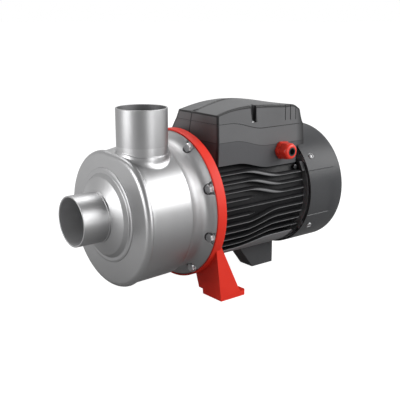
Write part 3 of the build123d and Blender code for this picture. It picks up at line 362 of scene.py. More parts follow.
stainlessLook = dict(mottleScale=9, brushScale=260, brushStretch=(1, 0.05, 0.05), dark=(0.43, 0.43, 0.435),
                     light=(0.46, 0.46, 0.465), gloss=(0.36, 0.40), bump=0.01, depth=0.0002, metal=1.0)
# the bore colour is a pale matt one inside the suction pipe: a matt finish, and partly painted light in the
# shaded bore
pipeLook = dict(stainlessLook, brushStretch=(0.2, 0.2, 0.2), gloss=(0.39, 0.42), bump=0.004,
                bore=(0.50, 0.50, 0.51), boreMetal=0.45, boreRoughness=0.55)
flangeLook = dict(stainlessLook, gloss=(0.50, 0.54))
# discharge pipe: a darker copy of the pipe steel, with a dark bore colour that is painted shade inside the
# upright tube
dischargeLook = dict(pipeLook, dark=(0.36, 0.36, 0.365), light=(0.39, 0.39, 0.395), gloss=(0.43, 0.46),
                     bore=(0.16, 0.16, 0.165), boreMetal=0.7)
screwLook = dict(stainlessLook, mottleScale=180, dark=(0.60, 0.60, 0.61), light=(0.70, 0.70, 0.71),
                 gloss=(0.30, 0.40))
redPaintLook = dict(shadeScale=30, grainScale=900, dark=(0.70, 0.026, 0.012), light=(0.76, 0.033, 0.016),
                    gloss=(0.48, 0.56), bump=0.08, depth=0.0003, shine=0.3)
redPlasticLook = dict(redPaintLook, dark=(0.72, 0.03, 0.014), light=(0.78, 0.04, 0.02), gloss=(0.30, 0.38),
                      bump=0.03, shine=0.45)
# the gap colour is painted shade between the fins, the crest colour a painted highlight on fin crests and
# band
motorPaintLook = dict(shadeScale=24, grainScale=1500, dark=(0.025, 0.0255, 0.027), gloss=(0.50, 0.58),
                      light=(0.034, 0.0345, 0.036), shine=0.25, bump=0.10, depth=0.0003, crestShare=1.0,
                      gapShade=(0.008, 0.008, 0.009), gapShadeRadius=(0.0705, 0.0745), crest=(0.215, 0.217, 0.223),
                      crestRadius=(0.0768, 0.0775))
# the foot's paint is the motor paint made lighter: painted light on the foot's lit near face
litFootPaintLook = dict(motorPaintLook, dark=(0.056, 0.057, 0.060), light=(0.066, 0.067, 0.070))
coverPaintLook = dict(motorPaintLook, dark=(0.046, 0.047, 0.050), light=(0.054, 0.055, 0.058),
                      gloss=(0.36, 0.42))
# the lower colour is painted shade below the tone line, and the line colour paints the dark lines of shade
# and dark reflection
boxPlasticLook = dict(shadeScale=18, grainScale=1800, dark=(0.106, 0.107, 0.110), light=(0.120, 0.121, 0.125),
                      shine=0.4, gloss=(0.42, 0.50), bump=0.12, depth=0.0002, waveSpan=(0.021, 0.075),
                      waveHeight=(0.1899, 0.1796), lower=(0.070, 0.071, 0.076), lowerShadeShare=0.85,
                      line=(0.008, 0.008, 0.009), lineShare=0.6, lineHalf=(0.0002, 0.0006), ridge=0.009,
                      ridgeHeight=(0.222, 0.224), ridgeHalf=(0.0028, 0.0044), ridgeShadeShare=1.0,
                      creaseY=(-0.0034, -0.009), creaseHeight=(0.200, 0.2235), creaseHalf=(0.0008, 0.0013),
                      creaseShadeShare=0.85, frontX=(-0.0052, -0.0046), lowerShadeSoft=0.0002)
rubberLook = dict(shadeScale=60, grainScale=1200, dark=(0.012, 0.012, 0.012), light=(0.022, 0.022, 0.022),
                  gloss=(0.6, 0.75), bump=0.1, depth=0.0002)
aluminiumLook = dict(shadeScale=40, grainScale=700, dark=(0.46, 0.46, 0.47), light=(0.58, 0.58, 0.59),
                     gloss=(0.42, 0.55), bump=0.2, depth=0.0003, metal=1.0)
coreLook = dict(stainlessLook, brushScale=900, brushStretch=(1, 0.02, 0.02), dark=(0.13, 0.13, 0.14),
                light=(0.20, 0.20, 0.21), gloss=(0.4, 0.55), bump=0.3)
copperLook = dict(shadeScale=90, grainScale=500, dark=(0.30, 0.07, 0.02), light=(0.48, 0.14, 0.04),
                  gloss=(0.25, 0.4), bump=0.5, depth=0.0006)
brassLook = dict(stainlessLook, dark=(0.55, 0.36, 0.12), light=(0.70, 0.48, 0.18), gloss=(0.25, 0.35))
zincLook = dict(screwLook, dark=(0.28, 0.28, 0.285), light=(0.36, 0.36, 0.365), gloss=(0.42, 0.5))
darkScrewLook = dict(screwLook, dark=(0.05, 0.05, 0.052), light=(0.09, 0.09, 0.095), gloss=(0.35, 0.45))
blackPlasticLook = dict(rubberLook, dark=(0.016, 0.016, 0.018), light=(0.028, 0.028, 0.030),
                        gloss=(0.42, 0.55))
whitePlasticLook = dict(rubberLook, dark=(0.70, 0.70, 0.68), light=(0.80, 0.80, 0.77), gloss=(0.3, 0.4))
ceramicLook = dict(whitePlasticLook, dark=(0.72, 0.69, 0.62), light=(0.82, 0.79, 0.72), gloss=(0.12, 0.2))

stainless = sheetSteel("stainlessSheet", stainlessLook)
pipeSteel = pipeWithPaintedBore("pipeSteel", pipeLook)
dischargeSteel = pipeWithPaintedBore("dischargeSteel", dischargeLook)
flangeSteel = sheetSteel("flangeSteel", flangeLook)
screwSteel = sheetSteel("screwSteel", screwLook)
darkScrew = sheetSteel("darkScrew", darkScrewLook)
zincSteel = sheetSteel("zincSteel", zincLook)
redPaint = coated("redPaint", redPaintLook)
redPlastic = coated("redPlastic", redPlasticLook)
motorPaint = finnedPaintWithPaintedShade("motorPaint", motorPaintLook)
litFootPaint = coated("litFootPaint", litFootPaintLook)
coverPaint = coated("coverPaint", coverPaintLook)
boxPlastic = boxPlasticWithPaintedShade("boxPlastic", boxPlasticLook)
blackPlastic = coated("blackPlastic", blackPlasticLook)

slotFinish = dict(stainless=stainless, steel=screwSteel, red_casting=redPaint, motor_paint=motorPaint,
                  grey_plastic=boxPlastic, red_plastic=redPlastic, black_plastic=blackPlastic,
                  seal_carbon=blackPlastic, rubber=coated("rubber", rubberLook),
                  seal_ceramic=coated("sealCeramic", ceramicLook),
                  core_steel=sheetSteel("coreSteel", coreLook),
                  cast_aluminium=coated("castAluminium", aluminiumLook),
                  varnished_copper=coated("varnishedCopper", copperLook),
                  white_plastic=coated("whitePlastic", whitePlasticLook),
                  brass=sheetSteel("brass", brassLook))
for row in frame["record"]["subparts"]:
    mesh = frame["nodes"][row["node"]].data
    mesh.materials.clear()
    mesh.materials.append(slotFinish[row["material_slot"]])
print("finishes ready")


# Pipe stubs

pipe = dict(radius=30.15, bore=28.15, mouth=-174.8, root=-142.2, lip=0.7, insideStep=0.3, backStep=0.6,
            axisX=-92.4, axisY=-26.1, top=127.4, bottom=84.0)


# wall section of a stub, both edges of its open end rounded
def pipeProfile(start, end):
    p = pipe
    return roundedLoop([(start, p["bore"], p["lip"]), (start, p["radius"], p["lip"]), (end, p["radius"], 0),
                        (end, p["radius"] - p["backStep"], 0), (end, p["bore"], 0)])


def makeStubs():
    p = pipe
    profile = pipeProfile(p["mouth"], p["root"])
    suction = turnedGrid(profile)
    inside = np.repeat((profile[:, 1:] < p["bore"] + p["insideStep"]).astype(float), suction.shape[1], 1)
    discharge = upright(turnedGrid(pipeProfile(-p["top"], -p["bottom"])), p["axisX"], p["axisY"])
    for name, grid, steel, node in (("suctionPipe", suction, pipeSteel, "suction_stub"),
                                    ("dischargePipe", discharge, dischargeSteel, "discharge_stub")):
        makePiece(name, [solid(grid)], steel, [node], marks=[inside])


makeStubs()


# Suction cone, with its weld, shoulder and embossed ring

cone = dict(front=-142.2, bore=28.15, weld=30.9, weldFoot=30.6, shoulderX=-133.6, shoulder=48.2, bend=3.2,
            faceX=-127.8, hollow=1.5, ring=56.6, sheet=2.0, steps=7, columns=192)


# turned profile: weld bead, dished wall, rounded shoulder, shallow hollow, ring, then the inner side
def makeCone():
    c = cone
    profile = roundedLoop([
        (c["front"], c["bore"], 0), (c["front"] - 0.1, pipe["radius"], 0), (c["front"] + 0.3, c["weld"], 0.3),
        (c["front"] + 1.8, c["weld"], 0.4), (c["front"] + 2.6, c["weldFoot"], 0.6),
        (c["shoulderX"], c["shoulder"] - 1.6, c["bend"]), (c["faceX"] - 1.3, c["shoulder"] + 2.6, 1.4),
        (c["faceX"] - c["hollow"], c["ring"] - 2.2, 0.5), (c["faceX"] - 0.9, c["ring"], 0.5),
        (c["faceX"], c["ring"] + 0.3, 0), (c["faceX"], c["shoulder"] - c["sheet"], 0),
        (c["shoulderX"] + c["sheet"], c["shoulder"] - 2 * c["sheet"], c["sheet"]),
        (c["front"] + 3.2, c["bore"], 1)], c["steps"])
    grid = turnedGrid(profile, c["columns"])
    makePiece("suctionDish", [solid(grid)], stainless, ["suction_cone"], sharp=50)


makeCone()


# Spiral casing

casing = dict(face=-127.8, cupEdge=6.2, beadEnd=-121.4, groove=-118.9, barrelStart=-116.2, barrelEnd=-63.4,
              rear=-61.6, start=76.4, full=88.0, turn=205.0, roof=76.8, blend=12, bead=1.8, dip=1.9,
              rearRadius=84.5, sheet=2.0, faceInner=54.0, columns=288, drill=29.0, drillTop=130.0,
              drillFoot=20.0, turnStep=0.5, leastRise=0.05, evenOver=10, firstHeight=75.0, rounds=12,
              faceShares=(0.12, 0.95, 8), cupRings=12, stepRings=10, barrelRings=26)


# outline radius: a spiral growing with the turn, then a soft minimum with the flat roof, evened out over a
# few degrees
def outline(turn):
    c = casing
    full = np.arange(0, 360, c["turnStep"])
    spiral = c["start"] + (c["full"] - c["start"]) * np.minimum(full / c["turn"], 1)
    rise = np.cos(np.radians(full))
    least = c["leastRise"]
    roof = np.where((full > 180) & (rise > least), c["roof"] / np.maximum(rise, least), np.inf)
    radius = (spiral ** -c["blend"] + roof ** -c["blend"]) ** (-1 / c["blend"])
    shifts = range(-c["evenOver"], c["evenOver"] + 1)
    radius = np.mean([np.roll(radius, n) for n in shifts], 0)
    return np.interp(np.mod(turn, 360), np.append(full, 360), np.append(radius, radius[0]))


# barrel radius: the outline less the bead, drawn linearly into the rear circle
def barrelRadius(x, turn):
    c = casing
    share = np.clip((c["barrelEnd"] - x) / (c["barrelEnd"] - c["barrelStart"]), 0, 1)
    return share * (outline(turn) - c["bead"]) + (1 - share) * c["rearRadius"]


# height of the barrel over a point, by repeating z = sqrt(r(x, turn)^2 - y^2)
def barrelHeight(x, y):
    z = np.full_like(x, casing["firstHeight"])
    for _ in range(casing["rounds"]):
        z = np.sqrt(np.maximum(barrelRadius(x, np.degrees(np.arctan2(y, z))) ** 2 - y**2, 1))
    return z


# rows are (place, share of the outline, radius added): face, quarter-round cup edge, groove as two smooth
# steps, barrel, rolled rear edge and the inner side
def makeCasing():
    c = casing
    turn = np.linspace(0, 360, c["columns"], endpoint=False)
    end = c["rearRadius"]
    wall = c["bead"] + c["sheet"]

    def stepRows(start, stop, fromDip, toDip, shares):
        return [(start + (stop - start) * t, 1, -fromDip + (fromDip - toDip) * smoothStep(t)) for t in shares]

    rows = [(c["face"] + c["sheet"], 0, c["faceInner"]), (c["face"], 0, c["faceInner"])]
    rows += [(c["face"], share, (1 - share) * c["faceInner"] - share * c["cupEdge"])
             for share in np.linspace(*c["faceShares"])]
    rows += [(c["face"] + c["cupEdge"] * (1 - math.cos(a)), 1, -c["cupEdge"] * (1 - math.sin(a)))
             for a in np.linspace(0, np.pi / 2, c["cupRings"])]
    shares = np.linspace(0, 1, c["stepRings"])
    rows += stepRows(c["beadEnd"], c["groove"], 0, c["dip"], shares)
    rows += stepRows(c["groove"], c["barrelStart"], c["dip"], c["bead"], shares[1:])
    length = c["barrelEnd"] - c["barrelStart"]
    rows += [(c["barrelStart"] + length * t, 1 - t, t * end - (1 - t) * c["bead"])
             for t in np.linspace(0, 1, c["barrelRings"])[1:]]
    rows += [(c["rear"] - 1.2, 0, end - 0.25), (c["rear"] - 0.5, 0, end - 0.8), (c["rear"], 0, end - 1.7),
             (c["rear"], 0, end - c["sheet"] - 1.0), (c["rear"] - 2, 0, end - c["sheet"]),
             (c["barrelStart"], 1, -wall), (c["face"] + 4.5, 1, -wall - 0.6),
             (c["face"] + c["sheet"], 1, -c["cupEdge"] - c["sheet"])]
    data = np.array(rows)
    grid = ringGrid(data[:, 0], data[:, 1:2] * outline(turn) + data[:, 2:3], -np.radians(turn))
    thing = makePiece("spiralCasing", [solid(grid)], stainless, ["volute_casing"], sharp=50)
    drillNeck(thing)


# the discharge's bore is cut through the barrel, and the cut mesh is kept
def drillNeck(thing):
    top, foot, radius = -casing["drillTop"], -casing["drillFoot"], casing["drill"]
    cutter = turnedGrid([(top, 0), (top, radius), (foot, radius), (foot, 0)], 96)
    cutter = upright(cutter, pipe["axisX"], pipe["axisY"])
    drill = makePiece("neckDrill", [tube(cutter)], stainless, [])
    cut = thing.modifiers.new("neck", "BOOLEAN")
    cut.object = drill
    cut.operation = "DIFFERENCE"
    graph = bpy.context.evaluated_depsgraph_get()
    cutMesh = bpy.data.meshes.new_from_object(thing.evaluated_get(graph))
    thing.modifiers.remove(cut)
    thing.data = cutMesh
    cutMesh.set_sharp_from_angle(angle=math.radians(50))
    bpy.data.objects.remove(drill)


makeCasing()


neck = dict(seam=74.0, swell=0.55, flareSide=5.0, flareEnd=2.4, rise=5.5, sink=0.15, tuck=1.6, columns=192,
            curveRings=14)


# a tube round the discharge axis whose foot flares onto the barrel in a quadratic curve
def makeNeck():
    n = neck
    a = np.linspace(0, 2 * np.pi, n["columns"], endpoint=False)
    outer = pipe["radius"] + n["swell"]
    reach = n["flareEnd"] + (n["flareSide"] - n["flareEnd"]) * np.sin(a) ** 2

    def around(radius):
        return pipe["axisX"] + radius * np.cos(a), pipe["axisY"] + radius * np.sin(a)

    def ringAt(x, y, height):
        return np.stack(np.broadcast_arrays(x, y, height), -1)[None]

    footX, footY = around(outer + reach)
    cornerX, cornerY = around(outer)
    footZ = barrelHeight(footX, footY) - n["sink"]
    cornerZ = barrelHeight(cornerX, cornerY) - n["sink"]
    topZ = cornerZ + n["rise"]
    t = np.linspace(0, 1, n["curveRings"])[:, None]
    curve = [(1 - t) ** 2 * f + 2 * t * (1 - t) * c + t**2 * e
             for f, c, e in ((footX, cornerX, cornerX), (footY, cornerY, cornerY), (footZ, cornerZ, topZ))]
    seam = np.maximum(n["seam"], topZ + 0.4)
    bottom = pipe["bottom"] + 0.2
    wide, narrow = pipe["radius"] - 0.02, pipe["bore"] + 0.02
    levels = ((seam - 0.5, outer), (seam - 0.1, outer - 0.1), (seam, outer - 0.4), (seam + 0.3, wide - 0.03),
              (seam + 0.9, wide), (bottom, wide), (bottom, narrow), (cornerZ - 5, narrow))
    rows = [ringAt(footX, footY, footZ - n["tuck"]), np.stack(curve, -1)]
    rows += [ringAt(*around(radius), height) for height, radius in levels]
    makePiece("dischargeNeck", [solid(np.concatenate(rows))], stainless, [], sharp=60)


makeNeck()
print("casing ready")


# Waisted rear of the casing, its flange, and a pressed pocket at each screw

flange = dict(faceX=-32.6, rim=91.4, thickness=2.0, inner=74.0, screws=9, circle=85.5, first=27.6, pocket=6.5,
              pocketStart=-43.6, pocketRamp=6.5, pocketSlope=2.4, pocketSoft=0.8, pocketLift=3.0,
              pocketClimb=1.2, waistEnd=-42.0, waistRings=24, flareRings=40, ringStep=0.4, columns=1080)
flareTable = np.array([(-61.9, 81.6), (-61.2, 82.5), (-59.5, 81.8), (-55.5, 80.3), (-50, 79.7), (-45, 79.6),
                       (-41.5, 80.3), (-38.6, 82.1), (-36.4, 84.7), (-34.8, 87.6), (-33.4, 90.3),
                       (-32.6, 91.2)])


def flangeAngles():
    return [flange["first"] + 360 / flange["screws"] * n for n in range(flange["screws"])]


# flare radius by place along the shaft, cut back to a round pocket's wall wherever a screw sits
def makeFlange():
    f = flange
    angle = np.linspace(0, 360, f["columns"], endpoint=False)
    pitch = 360 / f["screws"]
    away = np.radians(np.mod(angle - f["first"] + pitch / 2, pitch) - pitch / 2)
    side = f["circle"] * np.sin(away)
    depth = np.sqrt(np.maximum(f["pocket"] ** 2 - side**2, 0))
    beside = np.maximum(np.abs(side) - f["pocket"] + f["pocketSoft"], 0) * f["pocketSlope"]
    wall = f["circle"] * np.cos(away) - depth + beside
    start, end = flareTable[0, 0], flareTable[-1, 0]
    waist = np.linspace(start, f["waistEnd"], f["waistRings"])
    along = np.concatenate([waist, np.linspace(f["waistEnd"] + f["ringStep"], end, f["flareRings"])])
    profile = smoothLine(flareTable, along)
    step = smoothStep((f["pocketStart"] + f["pocketRamp"] - along) / f["pocketRamp"])
    ramp = step * f["pocketLift"] + np.maximum(0, f["pocketStart"] - along) * f["pocketClimb"]
    r = np.minimum(profile[:, None], wall[None] + ramp[:, None])
    back = f["faceX"] + f["thickness"]
    ends = np.array([(f["faceX"], f["rim"] - 0.2), (f["faceX"] + 0.3, f["rim"]), (back, f["rim"]),
                     (back, f["inner"]), (start, f["inner"])])
    x = np.concatenate([along, ends[:, 0]])
    r = np.concatenate([r, np.repeat(ends[:, 1:], len(angle), 1)])
    grid = ringGrid(x, r, np.radians(angle))
    makePiece("casingRear", [solid(grid)], flangeSteel, ["casing_flange"], sharp=55)


# hexagon head as the smaller of the hexagon's radius and a chamfer's, with a shank behind it
def hexScrewGrid(start, headEnd, tip, across, shank, chamfer=0.9, columns=48):
    a = np.linspace(0, 2 * np.pi, columns, endpoint=False)
    half = across / 2
    corner = half / math.cos(math.pi / 6)
    x = np.array([start, start, start + chamfer * 0.5, start + chamfer, headEnd, headEnd, tip, tip])
    most = np.array([0, half - 0.3, half + 0.2, corner, corner, shank, shank, 0])
    return ringGrid(x, np.minimum(hexagonRadius(half, a)[None], most[:, None]), a)


screw = dict(head=-38.3, seat=-33.8, tip=-20.6, across=10.0, shank=3.0, washer=6.4, washerEnd=-32.6, twist=17)


# heads and washers stand round the flange, each head twisted a little further than the last
def makeFlangeScrews():
    s = screw
    out = [0, 0, flange["circle"]]
    one = hexScrewGrid(s["head"], s["seat"], s["tip"], s["across"], s["shank"])
    heads = [tube(turnAround(turnAround(one, s["twist"] * n) + out, a)) for n, a in enumerate(flangeAngles())]
    makePiece("flangeScrews", heads, screwSteel, ["flange_screws"])
    section = roundedLoop([(s["seat"], s["shank"], 0), (s["seat"], s["washer"], 0.3),
                           (s["washerEnd"], s["washer"], 0.3), (s["washerEnd"], s["shank"], 0)], 3)
    washer = turnedGrid(section, 48) + out
    washers = [solid(turnAround(washer, a)) for a in flangeAngles()]
    makePiece("flangeWashers", washers, screwSteel, ["flange_washers"])


makeFlange()
makeFlangeScrews()
print("flange ready")


# Red bracket

bracket = dict(front=-33.2, rear=-19.6, radius=93.7, lip=91.7, web=-28.6, hub=28.0, hubBore=12.0,
               hubRear=-6.8, seat=20.0, seatFront=-18.8, spigot=63.9, spigotEnd=-15.6, spigotWall=5.0,
               edge=1.0, columns=240)
leg = dict(frontTop=-26.8, frontFoot=-20.1, topHeight=-41.0, outerTop=82.5, outerFoot=84.4, innerTop=37.5,
           innerTopHeight=-84.0, innerFoot=41.5, padInner=48.9, padLength=40.2, padHeight=6.7, padRound=4.0,
           wall=6.0, rearTop=-19.6, rearFoot=10.5, hole=4.5, holeSide=66.0, bevel=0.9)


# L-shaped section, front wall and outer wall, carried down from under the rim to the floor, and a drilled pad
def legShells(side):
    g = leg
    floor = -lift
    padTop = floor + g["padHeight"]
    z = np.array([g["topHeight"], -60, g["innerTopHeight"], -94, padTop, padTop - 0.02, floor])
    share = (g["topHeight"] - z) / (g["topHeight"] - floor)
    front = g["frontTop"] + (g["frontFoot"] - g["frontTop"]) * share
    outer = g["outerTop"] + (g["outerFoot"] - g["outerTop"]) * share
    inner = np.interp(-z, [-g["topHeight"], -g["innerTopHeight"], -padTop, -padTop + 0.01, -floor],
                      [g["outerTop"] - g["wall"] - 0.1, g["innerTop"], g["innerFoot"], g["padInner"],
                       g["padInner"]])
    rear = np.interp(-z, [-g["topHeight"], -padTop, -floor], [g["rearTop"] + 1, g["rearFoot"], g["rearFoot"]])
    x = np.stack([front, front, rear, rear, front + g["wall"], front + g["wall"]], 1)
    y = np.stack([inner, outer, outer, outer - g["wall"], outer - g["wall"], inner], 1)
    section = np.stack([x, side * y, np.repeat(z[:, None], 6, 1)], -1)
    ahead, back = g["frontFoot"] + 3, g["frontFoot"] + g["padLength"]
    near, far = g["padInner"] + 0.1, g["outerFoot"] - 0.1
    soft = g["padRound"]
    pad = roundedLoop([(ahead, near, 1), (back, near, soft), (back, far, soft), (ahead, far, 1)], 12)
    outward = np.arctan2(pad[:, 1] - g["holeSide"], pad[:, 0])
    ring = np.stack([g["hole"] * np.cos(outward), g["holeSide"] + g["hole"] * np.sin(outward)], -1)

    def level(loop, height):
        return np.stack([loop[:, 0], side * loop[:, 1], np.full(len(loop), height)], -1)

    padGrid = np.stack([level(ring, floor), level(pad, floor), level(pad, padTop), level(ring, padTop)])
    return [prism(section), solid(padGrid)]


# turned profile: rim, spigot into the motor, hub with its bearing seat, web
def makeBracket():
    b = bracket
    rear, radius, edge = b["rear"], b["radius"], b["edge"]
    inside = b["spigot"] - b["spigotWall"]
    rim = roundedLoop([
        (b["front"], b["lip"], 0.4), (b["front"], radius, edge), (rear, radius, edge), (rear, b["spigot"], 0),
        (b["spigotEnd"], b["spigot"], 0.5), (b["spigotEnd"], inside, 0.5), (rear, inside, 0.5),
        (rear, b["hub"], 1.5), (b["hubRear"], b["hub"], 1), (b["hubRear"], b["seat"], 0.3),
        (b["seatFront"], b["seat"], 0), (b["seatFront"], b["hubBore"], 0), (b["web"], b["hubBore"], 0.5),
        (b["web"], b["lip"], 0.5)], 5)
    grid = turnedGrid(rim, b["columns"])
    makePiece("bracketCasting", [solid(grid)], redPaint, ["bracket"], sharp=40)
    makePiece("bracketLegs", legShells(-1) + legShells(1), redPaint, [], bevel=leg["bevel"])


makeBracket()
print("bracket ready")


# Motor housing

motor = dict(front=-19.6, rear=135.4, core=70.0, bore=64.0, band=78.0, pitch=10.3, root=1.6, tip=0.75,
             bendStart=30.4, bendEnd=83.4, lag=12.0, valley=68.2, finStart=-17.6, finEnd=129.5, shortEnd=45.0,
             bandRow=-6, bandEnd=124.0, blockLength=5.0, blockLow=31.0, blockHigh=42.5, blockRise=7.0,
             finOut=(-3.0, 5.2, 6.9, 7.4, 6.9, 5.2, -3.0), finShare=(0, 0, 0.15, 0.6, 0.85, 1, 1),
             fins=(2, 3, 4, -2, -3, -4, -5, 0), shortFins=((1, 16.0), (-1, 14.0)), finRings=110,
             bandRings=70, bandColumns=61)


# height of a row along the motor: level, a smooth step of one pitch towards the shaft's height, then level
def rowHeight(x, height, shift, lag=0.0):
    m = motor
    return height + shift * smoothStep((x - m["bendStart"] - lag) / (m["bendEnd"] - m["bendStart"]))


# fin: root, flanks and rounded tip, out from the core by given steps; its upper edge may start to fall later
# than its lower one, and its end is drawn in as a square root of the distance left
def finGrid(row, side, end=motor["finEnd"], taper=3.0):
    m = motor
    x = np.linspace(m["finStart"], end, m["finRings"])
    shift = 0.0 if abs(row) < 2 else (-m["pitch"] if row > 0 else m["pitch"])
    lower = rowHeight(x, row * m["pitch"], shift)
    upper = rowHeight(x, row * m["pitch"], shift, m["lag"] if row > 1 else 0.0)
    fade = np.maximum(np.sqrt(np.clip((end - x) / taper, 0, 1)), 0.02)
    out = np.array(m["finOut"])
    half = np.array([-m["root"], -m["tip"], -m["tip"] * 0.7, 0, m["tip"] * 0.7, m["tip"], m["root"]])
    share = np.array(m["finShare"])
    z = lower[:, None] * (1 - share) + upper[:, None] * share + half * fade[:, None]
    radius = m["core"] + np.where(out > 0, out * (0.3 + 0.7 * fade[:, None]), out)
    y = np.sqrt(np.maximum(radius**2 - np.clip(z, -76, 76) ** 2, 1.0))
    return np.stack([np.repeat(x[:, None], len(out), 1), side * y, z], -1)


# plain band under the last fin row, which follows that row's line: arcs about the shaft from edge to edge
def bandGrid():
    m = motor
    x = np.linspace(m["front"] + 0.5, m["bandEnd"], m["bandRings"])
    top = rowHeight(x, m["bandRow"] * m["pitch"] + 1.2, m["pitch"])
    t = np.linspace(-1, 1, m["bandColumns"])

    def arc(radius, drop):
        angle = np.arccos(np.clip((-top + drop) / radius, -1, 1))[:, None] * t[None]
        y, z = radius * np.sin(angle), -radius * np.cos(angle)
        return np.stack([np.repeat(x[:, None], len(t), 1), y, z], -1)

    outer, rounded, inner = arc(m["band"], 0.6), arc(m["band"] - 0.6, 0.0), arc(m["core"] - 1, 0.0)
    return np.concatenate([inner[:, ::-1], rounded[:, :1], outer, rounded[:, -1:]], 1)


# small block behind the first fin row
def blockGrid(side):
    m = motor
    start, end = m["finEnd"], m["finEnd"] + m["blockLength"]
    x = np.array([start, end, end, start])
    z = np.array([m["blockLow"], m["blockLow"], m["blockHigh"], m["blockHigh"]])
    radius = np.array([[m["core"] - 1], [m["core"] + m["blockRise"]]])
    y = np.sqrt(radius**2 - z**2)
    return np.stack(np.broadcast_arrays(x, side * y, z), -1)


def makeMotor():
    m = motor
    core = roundedLoop([(m["front"], m["bore"], 0), (m["front"], m["valley"], 0.5),
                        (m["rear"] - 0.3, m["valley"], 0.5), (m["rear"], m["bore"], 0)], 4)
    shells = [solid(turnedGrid(core, 160))]
    for side in (-1, 1):
        shells += [prism(finGrid(row, side)) for row in m["fins"]]
        shells += [prism(finGrid(row, side, m["shortEnd"], taper)) for row, taper in m["shortFins"]]
        shells.append(prism(blockGrid(side)))
    shells.append(prism(bandGrid()))
    makePiece("motorHousing", shells, motorPaint, ["motor_housing"], sharp=40)


foot = dict(topFront=66.0, topLine=-70.0, floorFront=96.5, rear=134.4, half=12.6, top=-77.0, bevel=1.0)


# side view as a slanted block, its front edge drawn on to the floor and up into the motor
def makeMotorFoot():
    f = foot
    slope = (f["floorFront"] - f["topFront"]) / (lift + f["topLine"])
    topX = f["topFront"] + slope * (f["topLine"] - f["top"])
    loop = [(topX, f["top"]), (f["floorFront"], -lift), (f["rear"], -lift), (f["rear"], f["top"])]
    grid = prismGrid(loop, -f["half"], f["half"], 1)
    makePiece("motorFoot", [prism(grid)], litFootPaint, ["motor_foot"], bevel=f["bevel"])


makeMotor()
makeMotorFoot()
print("motor ready")


# Fan cover

cover = dict(front=135.7, rear=199.2, radius=81.0, wall=1.8, edge=4.6, panelHalf=22.1, panelDepth=0.9,
             panelStart=136.4, panelFade=16.0, panelEnd=187.5, panelRows=(138, 186, 22), ringEnd=70.0,
             bars=((70.0, 73.0), (53.0, 56.0), (37.5, 40.5), (20.0, 24.0)), hub=21.0, spokes=36,
             spokeHalf=1.3, spokeStarts=(20.5, 38.5), spokeEnd=71.5, soft=0.5, columns=240,
             edgeColumns=(-0.5, -0.2, 0, 0.2, 0.5), panelEdge=0.5, arcSteps=10, barSteps=3)


# cover radius: a turned profile less a shallow panel between two angles on each side, its edges ramped over
# half a millimetre or half a degree; behind it a grille of round bars, a hub disc, spokes of two lengths
def makeCover():
    c = cover
    base = np.linspace(0, 360, c["columns"], endpoint=False)
    edges = [90 + s * c["panelHalf"] + o for s in (-1, 1) for o in c["edgeColumns"]]
    angle = np.unique(np.round(np.concatenate([base, edges, np.array(edges) + 180]), 3))
    front, rear, radius, start, stop = c["front"], c["rear"], c["radius"], c["panelStart"], c["panelEnd"]
    inner, back = radius - c["wall"], rear - c["wall"]
    steps, few, ramp = c["arcSteps"], c["barSteps"], c["panelEdge"]
    corners = roundedLoop([(front, inner, 0), (front, radius, 0.4), (rear, radius, c["edge"]),
                           (rear, c["ringEnd"] + 2, 0)], steps)[steps:3 * steps]
    along = [[front + 0.6, start, start + 0.5], np.linspace(*c["panelRows"]), [stop, stop + 0.6]]
    along = np.concatenate(along)
    wallRows = np.stack([along, np.full(len(along), radius)], -1)
    profile = np.concatenate([corners[:steps], wallRows, corners[steps:]])
    fromSide = np.abs(np.abs(np.mod(angle, 180) - 90))
    acrossMask = smoothStep((c["panelHalf"] + ramp / 2 - fromSide) / ramp)
    place = profile[:, 0]
    alongMask = smoothStep((place - start) / ramp) * smoothStep((stop - place) / c["panelFade"])
    r = profile[:, 1:] - c["panelDepth"] * alongMask[:, None] * acrossMask[None]
    innerRows = np.array([(rear, c["ringEnd"]), (back, c["ringEnd"]), (back, radius - c["edge"]),
                          (rear - c["edge"], inner), (front, inner)])
    x = np.concatenate([place, innerRows[:, 0]])
    r = np.concatenate([r, np.repeat(innerRows[:, 1:], len(angle), 1)])
    shells = [solid(ringGrid(x, r, np.radians(angle)))]
    face, soft = rear - 0.05, c["soft"]
    for low, high in c["bars"]:
        bar = roundedLoop([(back, low, soft), (face, low, soft), (face, high, soft), (back, high, soft)], few)
        shells.append(solid(turnedGrid(bar, 120)))
    hub = roundedLoop([(back, 0, 0), (face, 0, 0), (face, c["hub"], soft), (back, c["hub"], soft)], few)
    shells.append(tube(turnedGrid(hub[few:], 96)))
    half, high = c["spokeHalf"], c["spokeEnd"]
    for n in range(c["spokes"]):
        low = c["spokeStarts"][n % 2]
        spoke = [(-half, low), (half, low), (half, high), (-half, high)]
        spoke = prismGrid(spoke, back + 0.1, rear - 0.15, 0)
        shells.append(prism(turnAround(spoke, n * 360 / c["spokes"])))
    makePiece("fanCover", shells, coverPaint, ["fan_cover"], sharp=35)


coverScrew = dict(x=149.7, radius=4.5, height=2.7, angles=(54, 126, 234, 306), slot=0.55, slotDepth=1.0,
                  slotEnd=0.62, sink=0.5, depth=2.0, domeFall=0.92, domePower=2.4, columns=41)


# the four sides of a square grid, as one loop
def rimOf(grid):
    return np.concatenate([grid[0], grid[1:, -1], grid[-1, -2::-1], grid[-2:0:-1, 0]])


